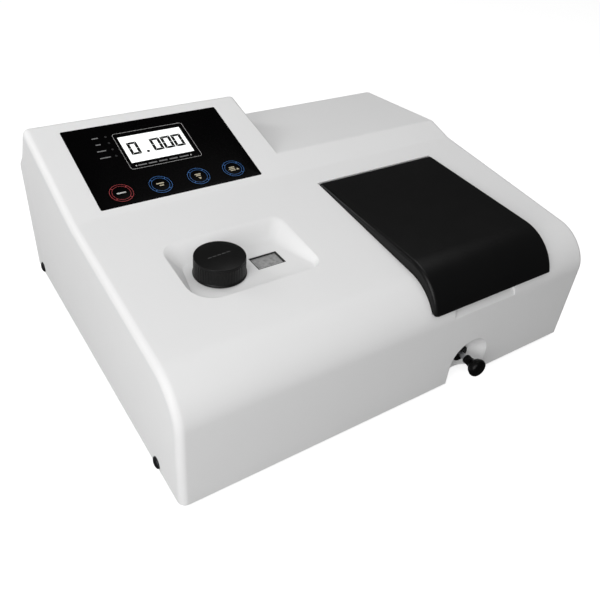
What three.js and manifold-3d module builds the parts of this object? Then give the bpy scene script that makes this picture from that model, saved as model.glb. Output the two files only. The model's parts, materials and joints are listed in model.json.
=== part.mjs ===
// A benchtop visible-light spectrophotometer, in millimetres, +Z up.
// Case frame: X from the cover's left wall, Y from its front face, Z from its lower edge.
// The finished group is shifted so that its origin is on the table, under the middle of the footprint.
import * as THREE from "three";
import { mergeVertices } from "three/addons/utils/BufferGeometryUtils.js";
import Module from "manifold-3d";

const wasm = await Module();
wasm.setup();

// Driving dimensions
const WIDTH = 460;
const DEPTH = 393.5;
const WALL = 3;
const EDGE_ROUND = 7;
const GAP = 0.4;
const FOOT = { height: 8, radius: 13, inset: 45 };

// The cover's outline, seen from the side
const TOP = { slope: 0.107, height: 121 };
const NOSE = { radius: 45.3, tip: [0, 90.3] };
const PANEL = { y: 217.2, slope: 0.3 };
const DECK = { frontY: 248.4, backY: 374.7, backZ: 144.7 };
const DISPLAY_HOUSING = { width: 232.7, backY: 347.3 };
const BACK_EDGE = { y: 391, z: 130, wallZ: 126 };

// Lid and sample compartment
const LID = { x: [248.6, 402.6], slope: 0.043, height: 135.25, radius: 47.7, tip: [-1, 101.6], wall: 2.5 };
const LID_PIVOT = { y: 185.8, z: 137.2, barrel: 6, pin: 1.5 };
const SIDE_ROUND = 3.5;
const CHAMBER = { x: [256, 394], y: [20, 178], floor: 9.3, frontTop: 113, backTop: 134, wall: 2.5 };
const BEAM = { y: 100, z: 45, radius: 5 };
const CUVETTE = { side: 12.9, pitch: 20, count: 4 };

// Pull rod, its scoop in the front face, and the finger grip under the lid's lip
const ROD = { x: 314, z: 20.4, radius: 3, y: [-10, 102] };
const ROD_KNOB_FRONT = -17.8;
const ROD_SLEEVE_RADIUS = 6;
const SCOOP = { x: 313, y: -12.7, radius: 27.7, domeZ: 23.4, domeSteps: 8, wall: 2.5 };
const GRIP = { x: [277.5, 356], depth: 9, sillZ: 84.8, backZ: 101.4, wall: 2.5 };

// Wavelength knob, its recess and the dial below the window
const KNOB = { x: 95.8, y: 116.9, radius: 22.4, top: 144.2 };
const RECESS = { x: [55.3, 182.3], y: [81.3, 161], floor: 126, fillet: 5, wall: 2.5 };
const RECESS_RADIUS = { left: 23, right: 10 };
const SHAFT_RADIUS = 3;
const BUSH = { sleeve: 4.1, flange: 7, drop: 5.4 };
const WINDOW = { x: [128, 156.5], y: [105, 124] };
const GEARS = { module: 1.5, pinionTeeth: 12, dialTeeth: 68, z: [108, 111.5] };
const DIAL = { radius: 49, z: [117, 118.5] };

// Keypad panel, in its own frame: X as the case, V up the slope, W out of the surface
const OVERLAY = { x: [32, 201], v: [8.5, 119.9] };
const SCREEN = { x: [82, 149.4], v: [60, 99] };
const MODULE = { x: [76.2, 155.2], v: [54.2, 104.8], back: -8 };
const KEYS = {
  names: ["key_mode", "key_set", "key_down", "key_up"],
  x: [57.4, 96.7, 137, 175.8],
  v: 24.5,
  radius: 12,
};
const LAMPS = { x: 71.8, v: [102.8, 93.3, 83.7, 74], radius: 1.2 };

const COLOURS = {
  cover: [0xe8e8e6, 0.45, 0],
  lid: [0x111111, 0.5, 0],
  rubber: [0x1c1c1c, 0.9, 0],
  screw: [0x18181a, 0.4, 0.7],
  steel: [0xb9bcc0, 0.35, 0.9],
  sheet: [0xa9adb1, 0.5, 0.8],
  cast: [0x3a3c3e, 0.7, 0.4],
  brass: [0xb8963e, 0.35, 0.9],
  overlay: [0x0a0a0b, 0.3, 0],
  screen: [0xf4f5f2, 0.2, 0],
  redKey: [0x9c1f24, 0.4, 0],
  blueKey: [0x16357a, 0.4, 0],
  lamp: [0xe6e6e0, 0.4, 0],
  glass: [0xdfe8ea, 0.05, 0],
  dial: [0xd6d6d0, 0.5, 0],
  board: [0x1e5a34, 0.6, 0],
  winding: [0x9a5a20, 0.6, 0.2],
};

const instrument = new THREE.Group();
const caseGroup = new THREE.Group();
const panelGroup = new THREE.Group();
const grown = ([low, high], by) => [low - by, high + by];
const around = (middle, half) => [middle - half, middle + half];
const topAt = (y) => TOP.height + TOP.slope * y;
const panelAt = (y) => topAt(PANEL.y) + PANEL.slope * (y - PANEL.y);

// ---------------------------------------------------------------------------------------------
// Shapes and solids

// A closed three.js geometry as a solid that can be joined and cut.
function solidOf(geometry) {
  const bare = geometry.clone();
  bare.deleteAttribute("normal");
  bare.deleteAttribute("uv");
  const merged = mergeVertices(bare, 1e-4);
  const corners = [];
  for (let i = 0; i < merged.index.count; i += 3) {
    const [a, b, c] = [0, 1, 2].map((k) => merged.index.getX(i + k));
    if (a !== b && b !== c && c !== a) corners.push(a, b, c);
  }
  const vertProperties = merged.attributes.position.array;
  return new wasm.Manifold(new wasm.Mesh({ numProp: 3, vertProperties, triVerts: new Uint32Array(corners) }));
}

function geometryOf(solid) {
  const mesh = solid.getMesh();
  const geometry = new THREE.BufferGeometry();
  geometry.setAttribute("position", new THREE.BufferAttribute(new Float32Array(mesh.vertProperties), 3));
  geometry.setIndex(new THREE.BufferAttribute(new Uint32Array(mesh.triVerts), 1));
  const flat = geometry.toNonIndexed();
  flat.computeVertexNormals();
  return flat;
}

// A named sub-part in a group, at a place.
function addPiece(name, finish, solid, at = [0, 0, 0], group = caseGroup) {
  const [color, roughness, metalness] = COLOURS[finish];
  const material = new THREE.MeshStandardMaterial({ color, roughness, metalness });
  const mesh = new THREE.Mesh(geometryOf(solid), material);
  mesh.name = name;
  mesh.position.set(...at);
  group.add(mesh);
  return mesh;
}

function block([x0, x1], [y0, y1], [z0, z1]) {
  const geometry = new THREE.BoxGeometry(x1 - x0, y1 - y0, z1 - z0);
  return solidOf(geometry.translate((x0 + x1) / 2, (y0 + y1) / 2, (z0 + z1) / 2));
}

// A round bar or cone along an axis, from one station to another, through the point `at`.
function bar(axis, radius, [from, to], at = [0, 0, 0], { farRadius = radius, sides = 24 } = {}) {
  const geometry = new THREE.CylinderGeometry(farRadius, radius, to - from, sides);
  geometry.translate(0, (from + to) / 2, 0);
  turnUpright(geometry, axis);
  return solidOf(geometry.translate(...at));
}

// A turned part: its profile is a list of [radius, station] pairs, from the axis back to the axis.
function turned(axis, profile, at = [0, 0, 0], sides = 24) {
  const points = profile.map(([radius, station]) => new THREE.Vector2(radius, station));
  const geometry = new THREE.LatheGeometry(points, sides);
  turnUpright(geometry, axis);
  return solidOf(geometry.translate(...at));
}

function turnUpright(geometry, axis) {
  if (axis === "z") geometry.rotateX(Math.PI / 2);
  if (axis === "x") geometry.rotateZ(-Math.PI / 2);
}

// A side outline, in Y and Z, drawn out along X. Its long edges are rounded, and it can be inset all round.
function prismX(outline, [x0, x1], { round = 0, inset = 0, arcSteps = 8 } = {}) {
  const geometry = new THREE.ExtrudeGeometry(outline, {
    depth: x1 - x0 - 2 * round,
    curveSegments: arcSteps,
    bevelEnabled: round > 0,
    bevelSize: round,
    bevelThickness: round,
    bevelOffset: -round - inset,
    bevelSegments: 3,
  });
  geometry.translate(0, 0, x0 + round);
  const toCase = new THREE.Matrix4().makeBasis(
    new THREE.Vector3(0, 1, 0),
    new THREE.Vector3(0, 0, 1),
    new THREE.Vector3(1, 0, 0),
  );
  return solidOf(geometry.applyMatrix4(toCase));
}

function prismZ(outline, [z0, z1], arcSteps = 6) {
  const options = { depth: z1 - z0, curveSegments: arcSteps, bevelEnabled: false };
  const geometry = new THREE.ExtrudeGeometry(outline, options);
  return solidOf(geometry.translate(0, 0, z0));
}

function polygon(points) {
  return new THREE.Shape(points.map(([u, v]) => new THREE.Vector2(u, v)));
}

function joined(...solids) {
  return solids.reduce((whole, next) => whole.add(next));
}

function cut(solid, ...tools) {
  return tools.reduce((rest, tool) => rest.subtract(tool), solid);
}

// A solid drawn in the panel's frame, moved onto the sloping panel.
function onPanel(solid) {
  const geometry = geometryOf(solid);
  panelGroup.updateMatrix();
  return solidOf(geometry.applyMatrix4(panelGroup.matrix));
}

// The rolled front edge under a straight top line: the arc that touches the line and ends at the tip.
function noseArc({ slope, height }, radius, [tipY, tipZ]) {
  const steep = Math.hypot(1, slope);
  const drop = height - radius * steep - tipZ;
  const a = 1 + slope * slope;
  const b = 2 * (slope * drop - tipY);
  const c = tipY * tipY + drop * drop - radius * radius;
  const y = (-b + Math.sqrt(b * b - 4 * a * c)) / (2 * a);
  const z = height + slope * y - radius * steep;
  return { y, z, tipAngle: Math.atan2(tipZ - z, tipY - y), topAngle: Math.PI / 2 + Math.atan(slope) };
}

// ---------------------------------------------------------------------------------------------
// Cover

const SKIRT_EXTRA = 30;

function bodyOutline() {
  const nose = noseArc(TOP, NOSE.radius, NOSE.tip);
  const outline = new THREE.Shape();
  outline.absarc(nose.y, nose.z, NOSE.radius, nose.tipAngle, nose.topAngle, true);
  outline.lineTo(PANEL.y, topAt(PANEL.y));
  outline.lineTo(DECK.frontY, panelAt(DECK.frontY));
  outline.lineTo(DECK.backY, DECK.backZ);
  outline.lineTo(BACK_EDGE.y, BACK_EDGE.z);
  outline.lineTo(DEPTH, BACK_EDGE.wallZ);
  outline.lineTo(DEPTH, -SKIRT_EXTRA);
  outline.lineTo(NOSE.tip[0], -SKIRT_EXTRA);
  return outline;
}

function displayHousingOutline() {
  const hiddenY = PANEL.y - 37;
  const hiddenZ = 100;
  return polygon([
    [hiddenY, hiddenZ],
    [hiddenY, panelAt(hiddenY)],
    [DISPLAY_HOUSING.backY, panelAt(DISPLAY_HOUSING.backY)],
    [DECK.backY, DECK.backZ + 1.5],
    [DECK.backY, hiddenZ],
  ]);
}

function caseBlank(inset) {
  const round = EDGE_ROUND - inset;
  const body = prismX(bodyOutline(), [inset, WIDTH - inset], { round, inset });
  const housing = prismX(displayHousingOutline(), [inset, DISPLAY_HOUSING.width - inset], { round, inset });
  return joined(body, housing);
}

// The knob recess in plan: a broad round end on the left, small corners on the right.
function recessOutline(grow) {
  const [x0, x1] = grown(RECESS.x, grow);
  const [y0, y1] = grown(RECESS.y, grow);
  const left = RECESS_RADIUS.left + grow;
  const right = RECESS_RADIUS.right + grow;
  const outline = new THREE.Shape();
  outline.moveTo(x0 + left, y0);
  outline.lineTo(x1 - right, y0);
  outline.absarc(x1 - right, y0 + right, right, -Math.PI / 2, 0, false);
  outline.absarc(x1 - right, y1 - right, right, 0, Math.PI / 2, false);
  outline.absarc(x0 + left, y1 - left, left, Math.PI / 2, Math.PI, false);
  outline.absarc(x0 + left, y0 + left, left, Math.PI, (3 * Math.PI) / 2, false);
  return outline;
}

// The tool that hollows the recess: its lower edge is rounded, which leaves a fillet round the floor.
function recessTool() {
  const round = RECESS.fillet;
  const geometry = new THREE.ExtrudeGeometry(recessOutline(0), {
    depth: 40,
    curveSegments: 6,
    bevelEnabled: true,
    bevelSize: round,
    bevelThickness: round,
    bevelOffset: -round,
    bevelSegments: 3,
  });
  return solidOf(geometry.translate(0, 0, RECESS.floor + round));
}

// The scoop round the pull rod: an upright cylinder with a domed top, sunk into the front face.
function scoopNiche(extra) {
  const { x, y, domeZ, domeSteps } = SCOOP;
  const radius = SCOOP.radius + extra;
  const arc = Array.from({ length: domeSteps }, (_, i) => {
    const angle = (Math.PI / 2) * (i / domeSteps);
    return [radius * Math.cos(angle), domeZ + radius * Math.sin(angle)];
  });
  const profile = [[0, -SKIRT_EXTRA], [radius, -SKIRT_EXTRA], ...arc, [0, domeZ + radius]];
  return turned("z", profile, [x, y, 0], 48);
}

// The finger grip: its floor slopes inwards from a low sill in the front face.
function fingerGripTool() {
  const { x, depth, sillZ, backZ } = GRIP;
  const top = LID.tip[1] + 8;
  return prismX(polygon([[-2, sillZ], [depth, backZ], [depth, top], [-2, top]]), x);
}

function panelHoles() {
  const through = [-6, 5];
  const bed = block(grown(OVERLAY.x, GAP), grown(OVERLAY.v, GAP), [-0.8, 5]);
  const screen = block(grown(MODULE.x, 0.6), grown(MODULE.v, 0.6), through);
  const keys = KEYS.x.map((x) => bar("z", KEYS.radius + GAP, through, [x, KEYS.v, 0]));
  const lamps = LAMPS.v.map((v) => bar("z", LAMPS.radius + GAP, through, [LAMPS.x, v, 0], { sides: 16 }));
  return onPanel(joined(bed, screen, ...keys, ...lamps));
}

const SCREW = { y: [46.5, 365.9], z: 6.8, shank: 2, head: 5.7, proud: 2.8 };
const REAR_OPENING = { x: [250, 440], z: [8, 60] };
const VENT = { count: 9, first: 44, pitch: 14, width: 4, z: [70, 105] };

// Clearance holes for the side screws, right across the case.
function screwBores() {
  const across = grown([0, WIDTH], 5);
  return SCREW.y.map((y) => bar("x", SCREW.shank + GAP, across, [0, y, SCREW.z], { sides: 16 }));
}

function coverHoles() {
  const throughBack = [DEPTH - 8, DEPTH + 5];
  const rear = block(REAR_OPENING.x, throughBack, REAR_OPENING.z);
  const vents = Array.from({ length: VENT.count }, (_, i) => {
    const x = VENT.first + i * VENT.pitch;
    return block([x, x + VENT.width], throughBack, VENT.z);
  });
  return joined(...screwBores(), rear, ...vents);
}

function topCover() {
  const outside = caseBlank(0);
  const shell = outside.subtract(caseBlank(WALL));
  const recessBody = prismZ(recessOutline(RECESS.wall), [RECESS.floor - 2.8, 200]).intersect(outside);
  const lipZ = LID.tip[1] - GAP;
  const insideFront = [1, GRIP.depth + WALL];
  const ledge = block(grown(LID.x, 4), insideFront, [lipZ - 6.2, lipZ]);
  const grip = block(grown(GRIP.x, GRIP.wall), insideFront, [GRIP.sillZ - 2.8, lipZ]);
  const behindFront = block([0, WIDTH], [1, DEPTH], [-SKIRT_EXTRA, TOP.height]);
  const scoopBody = scoopNiche(SCOOP.wall).intersect(behindFront);
  const body = joined(shell, recessBody, ledge, grip, scoopBody);
  const throughFloor = around(RECESS.floor, 15);
  return cut(
    body,
    block(grown(LID.x, GAP), [-10, LID_PIVOT.y + LID_PIVOT.barrel + GAP], [lipZ, 200]),
    fingerGripTool(),
    scoopNiche(0),
    bar("y", ROD_SLEEVE_RADIUS + GAP, [5, 25], [ROD.x, 0, ROD.z]),
    recessTool(),
    block(WINDOW.x, WINDOW.y, throughFloor),
    bar("z", BUSH.sleeve + GAP, throughFloor, [KNOB.x, KNOB.y, 0]),
    panelHoles(),
    coverHoles(),
    block(grown([0, WIDTH], 10), grown([0, DEPTH], 10), [-2 * SKIRT_EXTRA, 0]),
  );
}

// ---------------------------------------------------------------------------------------------
// Base: tray, feet, screws, rear panel

const TRAY = { sheet: 2, bottom: 0.6, lip: 16, cornerRoom: 2.6, sideEnds: [20, 12] };

function baseTray() {
  const { sheet, bottom, lip, cornerRoom, sideEnds } = TRAY;
  const clear = WALL + GAP;
  const [x0, x1] = grown([0, WIDTH], -clear);
  const [y0, y1] = [clear, DEPTH - clear - 0.2];
  const floor = block([x0, x1], grown([y0, y1], -cornerRoom), [bottom, bottom + sheet]);
  const sides = [x0, x1 - sheet].map((x) =>
    block([x, x + sheet], [sideEnds[0], y1 - sideEnds[1]], [bottom, lip]),
  );
  const scoopRoom = SCOOP.radius + SCOOP.wall + GAP;
  const scoopNotch = block(around(SCOOP.x, scoopRoom), [-5, SCOOP.y + scoopRoom], [-5, 2 * lip]);
  return cut(joined(floor, ...sides), ...screwBores(), scoopNotch);
}

// A rubber foot with a screw hole in its sole; its top enters the tray's underside by a hair's gap.
function foot() {
  const { radius, height } = FOOT;
  const hole = { radius: 3.5, depth: 3 };
  const top = height + 0.3;
  const profile = [
    [0, hole.depth], [hole.radius, hole.depth], [hole.radius, 0], [radius - 2.5, 0], [radius - 1.5, 1],
    [radius, height - 0.2], [radius - 0.6, top], [0, top],
  ];
  return turned("z", profile, [0, 0, 0], 16);
}

// A pan-head screw along +X, its head's flange at X = 0 and its head pointing to -X.
function sideScrew() {
  const { head, proud, shank } = SCREW;
  const seat = -0.15;
  const rim = -0.9;
  const tip = 9.5;
  const profile = [
    [0, -proud], [head * 0.55, -proud * 0.95], [head * 0.88, -proud * 0.6], [head, rim], [head, seat],
    [shank, seat], [shank, tip - 1], [shank - 0.6, tip], [0, tip],
  ];
  const body = turned("x", profile, [0, 0, 0], 16);
  const [long, thin, deep] = [around(0, 3), around(0, 0.5), [-5, -proud / 2]];
  return cut(body, block(deep, long, thin), block(deep, thin, long));
}

// The rear panel and what it carries: mains inlet, power switch and serial port, each in X and Z.
const REAR = { x: [245, 445], y: [386.6, 388.6], z: [4, 66], face: 388.9 };
const INLET = { x: [258, 286], z: [14, 50], socketZ: [17, 35], drawerZ: [39, 46.7] };
const SWITCH = { x: [306, 328], z: [22.5, 41.5] };
const PORT = { x: [372, 404], z: [26, 38] };
const OUTSIDE_Y = 395;

function rearPanel() {
  const plate = block(REAR.x, REAR.y, REAR.z);
  const through = [380, OUTSIDE_Y];
  const holes = [INLET, SWITCH, PORT].map(({ x, z }) => block(grown(x, GAP), through, grown(z, GAP)));
  return cut(plate, ...holes);
}

// A fitting's body behind the panel, joined to the flange that sits on the panel's face.
function flangedBody({ x, z }, back, [flangeX, flangeZ], proud) {
  const body = block(x, [back, REAR.face + 0.5], z);
  return body.add(block(grown(x, flangeX), [REAR.face, REAR.face + proud], grown(z, flangeZ)));
}

// A fused mains inlet: flanged body, socket with three pins, fuse drawer above it.
function powerInlet() {
  const wide = grown(INLET.x, -3);
  const socket = block(wide, [376, OUTSIDE_Y], INLET.socketZ);
  const drawerGroove = block(wide, [REAR.face + 1, OUTSIDE_Y], grown(INLET.drawerZ, 0.8));
  const drawer = block(grown(INLET.x, -4), [385, REAR.face + 1.8], INLET.drawerZ);
  const pinPlaces = [[267, 22], [277, 22], [272, 30]];
  const pins = pinPlaces.map(([x, z]) => block(around(x, 1), [370, 388], around(z, 2.5)));
  return joined(cut(flangedBody(INLET, 366, [2.5, 2.5], 2), socket, drawerGroove), drawer, ...pins);
}

function dataPort() {
  const shroud = block(grown(PORT.x, -6), [REAR.face, REAR.face + 3.7], grown(PORT.z, -1.5));
  const socket = block(grown(PORT.x, -7.5), [387, OUTSIDE_Y], grown(PORT.z, -3));
  return cut(joined(flangedBody(PORT, 378, [4, 2.5], 1.3), shroud), socket);
}

const ROCKER = { x: 317, y: 386.5, z: 32, trunnion: 1.6, trunnionY: -2 };

function powerRocker() {
  const profile = polygon([[-5, -6.4], [3.2, -6.6], [2.2, 0], [4.6, 6.4], [-5, 6.4]]);
  const cap = prismX(profile, around(0, 7.4));
  return cap.add(bar("x", ROCKER.trunnion, around(0, 8.6), [0, ROCKER.trunnionY, 0], { sides: 16 }));
}

function rockerFrame() {
  const well = block(around(ROCKER.x, 7.8), [376, OUTSIDE_Y], around(ROCKER.z, 8.1));
  const bearingAt = [0, ROCKER.y + ROCKER.trunnionY, ROCKER.z];
  const bearing = bar("x", ROCKER.trunnion + GAP, around(ROCKER.x, 9.2), bearingAt, { sides: 16 });
  return cut(flangedBody(SWITCH, 372, [2.5, 2], 1.7), well, bearing);
}

// ---------------------------------------------------------------------------------------------
// Lid and its hinge

const lidNose = noseArc(LID, LID.radius, LID.tip);
const LID_DROP = 60;
const BARREL_OPEN_FROM = Math.PI / 9;

// The lid's top line, inset: the rolled front, the straight top and the hinge barrel's back.
function lidTopLine(inset, barrelEnd) {
  const outline = new THREE.Shape();
  const barrelTop = Math.PI / 2 + Math.atan(LID.slope);
  const { y, z, barrel } = LID_PIVOT;
  outline.absarc(lidNose.y, lidNose.z, LID.radius - inset, lidNose.tipAngle, lidNose.topAngle, true);
  outline.absarc(y, z, barrel - inset, barrelTop, barrelEnd, true);
  return outline;
}

function lidBlankOutline() {
  const outline = lidTopLine(0, 0);
  outline.lineTo(LID_PIVOT.y + LID_PIVOT.barrel, LID_DROP);
  outline.lineTo(LID.tip[0], LID_DROP);
  return outline;
}

// Everything under the lid's lower rim, which rises from the front lip to the hinge barrel.
function lidUndersideOutline() {
  const { y, z, barrel } = LID_PIVOT;
  const outline = new THREE.Shape();
  outline.moveTo(-20, LID_DROP - 20);
  outline.lineTo(-20, LID.tip[1]);
  outline.lineTo(LID.tip[0] + 3, LID.tip[1]);
  outline.lineTo(8, 105);
  outline.absarc(y, z, barrel, -Math.PI / 2, 0, false);
  outline.lineTo(y + 40, z);
  outline.lineTo(y + 40, LID_DROP - 20);
  return outline;
}

// The space under the lid, open downwards, and open backwards below the hinge barrel.
function lidHollow() {
  const inset = LID.wall;
  const outline = lidTopLine(inset, BARREL_OPEN_FROM);
  const { y, z, barrel } = LID_PIVOT;
  outline.lineTo(y + 20, z + (barrel - inset) * Math.sin(BARREL_OPEN_FROM));
  outline.lineTo(y + 20, LID_DROP);
  outline.lineTo(lidNose.y + (LID.radius - inset) * Math.cos(lidNose.tipAngle), LID_DROP);
  return outline;
}

function sampleLid() {
  const blank = prismX(lidBlankOutline(), LID.x, { round: SIDE_ROUND, arcSteps: 9 });
  const across = grown(LID.x, 5);
  const below = prismX(lidUndersideOutline(), across);
  const hollow = prismX(lidHollow(), grown(LID.x, -LID.wall), { arcSteps: 9 });
  const bores = bar("x", LID_PIVOT.pin + GAP / 2, across, [0, LID_PIVOT.y, LID_PIVOT.z]);
  return cut(blank, below, hollow, bores);
}

const HINGE_EAR = 4;
const HINGE_EYE_RADIUS = 3.1;

// One ear that holds a hinge pin, standing off the compartment's back wall.
function hingeBracket() {
  const { y, z, pin } = LID_PIVOT;
  const wallY = CHAMBER.y[1] + GAP;
  const [low, high] = [112, 129];
  const profile = [[wallY, low], [wallY, high], [y - 2.6, z + 1], [y + 1.5, z - 2.6], [wallY + 4, low]];
  const stem = prismX(polygon(profile), [0, HINGE_EAR]);
  const eye = bar("x", HINGE_EYE_RADIUS, [0, HINGE_EAR], [0, y, z]);
  return cut(joined(stem, eye), bar("x", pin + GAP / 2, [-5, 10], [0, y, z], { sides: 16 }));
}

// ---------------------------------------------------------------------------------------------
// Sample compartment, cuvette rack and pull rod

function chamberProfile(inset, rise) {
  const [y0, y1] = grown(CHAMBER.y, -inset);
  const floor = CHAMBER.floor + inset;
  return polygon([[y0, floor], [y0, CHAMBER.frontTop + rise], [y1, CHAMBER.backTop + rise], [y1, floor]]);
}

function sampleChamber() {
  const { x, y, wall } = CHAMBER;
  const tub = prismX(chamberProfile(0, 0), x);
  const hollow = prismX(chamberProfile(wall, 30), grown(x, -wall));
  const flangeProfile = [[12.4, 96.5], [12.4, 99.3], [y[1], 125.5], [y[1], 122.7]];
  const flange = prismX(polygon(flangeProfile), grown(LID.x, 1));
  const beamHoles = bar("x", BEAM.radius + 2, grown(x, 5), [0, BEAM.y, BEAM.z]);
  const rodHole = bar("y", ROD_SLEEVE_RADIUS + GAP, around(y[0], 5), [ROD.x, 0, ROD.z]);
  return cut(joined(tub, flange), hollow, beamHoles, rodHole);
}

const RACK = { width: 27, y: [88, 172], z: [27, 62], wellFloor: 30, window: { width: 7, height: 20 } };
const CARRIAGE = { width: 51, z: [15.9, 27.4] };
const RAIL = { x: [ROD.x - 19.5, ROD.x + 19.5], radius: 3 };

// The four-place rack on its carriage: square wells, with a window through both sides of each.
function cuvetteRack() {
  const rackX = around(ROD.x, RACK.width / 2);
  const body = block(rackX, RACK.y, RACK.z);
  const carriage = block(around(ROD.x, CARRIAGE.width / 2), RACK.y, CARRIAGE.z);
  const half = CUVETTE.side / 2;
  const { width, height } = RACK.window;
  const wells = Array.from({ length: CUVETTE.count }, (_, i) => {
    const y = BEAM.y + i * CUVETTE.pitch;
    const well = block(around(ROD.x, half), around(y, half), [RACK.wellFloor, RACK.z[1] + 10]);
    return well.add(block(grown(rackX, 5), around(y, width / 2), around(BEAM.z, height / 2)));
  });
  const railBores = RAIL.x.map((x) =>
    bar("y", RAIL.radius + GAP, grown(RACK.y, 8), [x, 0, ROD.z], { sides: 16 }),
  );
  const socketY = [RACK.y[0] - 8, ROD.y[1] + 2];
  const rodSocket = bar("y", ROD.radius + GAP, socketY, [ROD.x, 0, ROD.z], { sides: 16 });
  return cut(joined(body, carriage), ...wells, ...railBores, rodSocket);
}

// A mushroom knob with a waisted neck, whose profile is given from its front face.
function rodKnob() {
  const profile = [
    [0, 0], [5, 0.3], [8.3, 1.7], [9.6, 4.1], [9.7, 6.5], [8.8, 9.1], [6.4, 11.7],
    [4.9, 14.5], [4.6, 18.5], [4.9, 21.7], [4.4, 22.5], [0, 22.5],
  ];
  const body = turned("y", profile, [0, ROD_KNOB_FRONT, 0]);
  return cut(body, bar("y", ROD.radius + GAP / 2, [ROD.y[0] - 1, 12]));
}

function rodBush() {
  const collar = bar("y", 9, [10.6, 12.8]);
  const sleeve = bar("y", ROD_SLEEVE_RADIUS, [12, 25]);
  return cut(joined(collar, sleeve), bar("y", ROD.radius + GAP / 2, [5, 30], [0, 0, 0], { sides: 24 }));
}

// ---------------------------------------------------------------------------------------------
// Wavelength drive

const SHAFT_BOTTOM = 104;

function wavelengthKnob() {
  const { radius, top } = KNOB;
  const floor = RECESS.floor + 0.6;
  const flange = radius + 1.9;
  const profile = [
    [0, floor], [flange, floor], [flange, floor + 1.6], [radius + 1, floor + 2.6],
    [radius, top - 1.4], [radius - 1.2, top], [0, top],
  ];
  const bore = bar("z", SHAFT_RADIUS + GAP, [SHAFT_BOTTOM, top - 3], [0, 0, 0], { sides: 16 });
  return cut(turned("z", profile, [0, 0, 0], 40), bore);
}

// A spur gear's outline: straight-flanked teeth, the first one centred on the angle `turn`.
function gearOutline(teeth, turn) {
  const pitch = (2 * Math.PI) / teeth;
  const radius = (GEARS.module * teeth) / 2;
  const root = radius - 1.05 * GEARS.module;
  const tip = radius + 0.75 * GEARS.module;
  const outline = [];
  for (let i = 0; i < teeth; i += 1) {
    const middle = turn + i * pitch;
    const corners = [[root, -0.24], [tip, -0.1], [tip, 0.1], [root, 0.24]];
    for (const [r, part] of corners) {
      const angle = middle + part * pitch;
      outline.push([r * Math.cos(angle), r * Math.sin(angle)]);
    }
  }
  return polygon(outline);
}

const centreDistance = (GEARS.module * (GEARS.pinionTeeth + GEARS.dialTeeth)) / 2;
const dialX = (WINDOW.x[0] + WINDOW.x[1]) / 2;
const dialY = KNOB.y + Math.sqrt(centreDistance ** 2 - (dialX - KNOB.x) ** 2);
const meshAngle = Math.atan2(dialY - KNOB.y, dialX - KNOB.x);

function drivePinion() {
  const gear = prismZ(gearOutline(GEARS.pinionTeeth, meshAngle), GEARS.z);
  const hub = bar("z", 6, [GEARS.z[1] - 1, GEARS.z[1] + 4]);
  return cut(joined(gear, hub), bar("z", SHAFT_RADIUS + GAP, [100, 130], [0, 0, 0], { sides: 16 }));
}

function dialGear() {
  const halfTooth = Math.PI / GEARS.dialTeeth;
  const gear = prismZ(gearOutline(GEARS.dialTeeth, meshAngle + Math.PI + halfTooth), GEARS.z);
  const spindle = bar("z", 4, [SHAFT_BOTTOM, DIAL.z[0] - GAP]);
  const seat = bar("z", 10, [DIAL.z[0] - 3, DIAL.z[0] - GAP]);
  const lightening = { count: 5, ring: 29, radius: 12 };
  const windows = Array.from({ length: lightening.count }, (_, i) => {
    const angle = (i * 2 * Math.PI) / lightening.count;
    const at = [lightening.ring * Math.cos(angle), lightening.ring * Math.sin(angle), 0];
    return bar("z", lightening.radius, [100, GEARS.z[1] + 0.5], at, { sides: 12 });
  });
  return joined(cut(gear, ...windows), spindle, seat);
}

function shaftBush() {
  const bottom = RECESS.floor - BUSH.drop;
  const flange = bar("z", BUSH.flange, [bottom, bottom + 2.2]);
  const sleeve = bar("z", BUSH.sleeve, [bottom, RECESS.floor + 0.2]);
  return cut(joined(flange, sleeve), bar("z", SHAFT_RADIUS + GAP / 2, around(RECESS.floor, 20)));
}

// ---------------------------------------------------------------------------------------------
// Optics

const OPTICS = { base: [3, 9], boxX: [30, 236], boxY: [24, 184], boxTop: 99, wall: 3, slitX: 205 };

function opticalBase() {
  const plate = block([24, 446], [19, 268], OPTICS.base);
  const lighteningHole = block([40, 165], [196, 256], grown(OPTICS.base, 3));
  return cut(plate, lighteningHole);
}

function monochromatorHousing() {
  const { boxX, boxY, boxTop, wall, slitX } = OPTICS;
  const floor = OPTICS.base[1] + GAP;
  const outer = block(boxX, boxY, [floor, boxTop]);
  const inner = block(grown(boxX, -wall), grown(boxY, -wall), [floor + wall, boxTop + 5]);
  const port = BEAM.radius + 1;
  const entrance = bar("y", port, around(boxY[1], 10), [slitX, 0, BEAM.z], { sides: 16 });
  const exit = bar("x", port, around(boxX[1], 10), [0, BEAM.y, BEAM.z], { sides: 16 });
  return cut(outer, inner, entrance, exit);
}

function monochromatorCover() {
  const { boxX, boxY, boxTop } = OPTICS;
  return block(boxX, boxY, [boxTop + GAP, boxTop + 4]);
}

// A thin plate with a tall slit, standing across X; turned a quarter for the entrance.
function slitPlate() {
  const plate = block([0, 1.2], around(0, 11), around(0, 14));
  return cut(plate, block([-2, 3], around(0, 0.6), around(0, 6)));
}

const GRATING = { x: 120, y: 66, thickness: 6, side: 30, turn: Math.PI / 5 };
const TABLE = { radius: 19, low: 8, high: 13, armLength: 60, roller: 5, spindle: 4 };

// The grating's turntable, with the sine arm that swings it.
function gratingTable() {
  const floor = OPTICS.base[1] + GAP + OPTICS.wall;
  const { radius, low, high, armLength } = TABLE;
  const spindle = bar("z", TABLE.spindle, [floor + GAP, floor + low], [0, 0, 0], { sides: 16 });
  const table = bar("z", radius, [floor + low, floor + high]);
  const arm = block([0, armLength + 2], around(0, TABLE.roller), [floor + low, floor + high - 1]);
  const roller = bar("z", TABLE.roller, [floor + low, floor + high + 5], [armLength, 0, 0], { sides: 16 });
  return joined(spindle, table, arm, roller);
}

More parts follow.
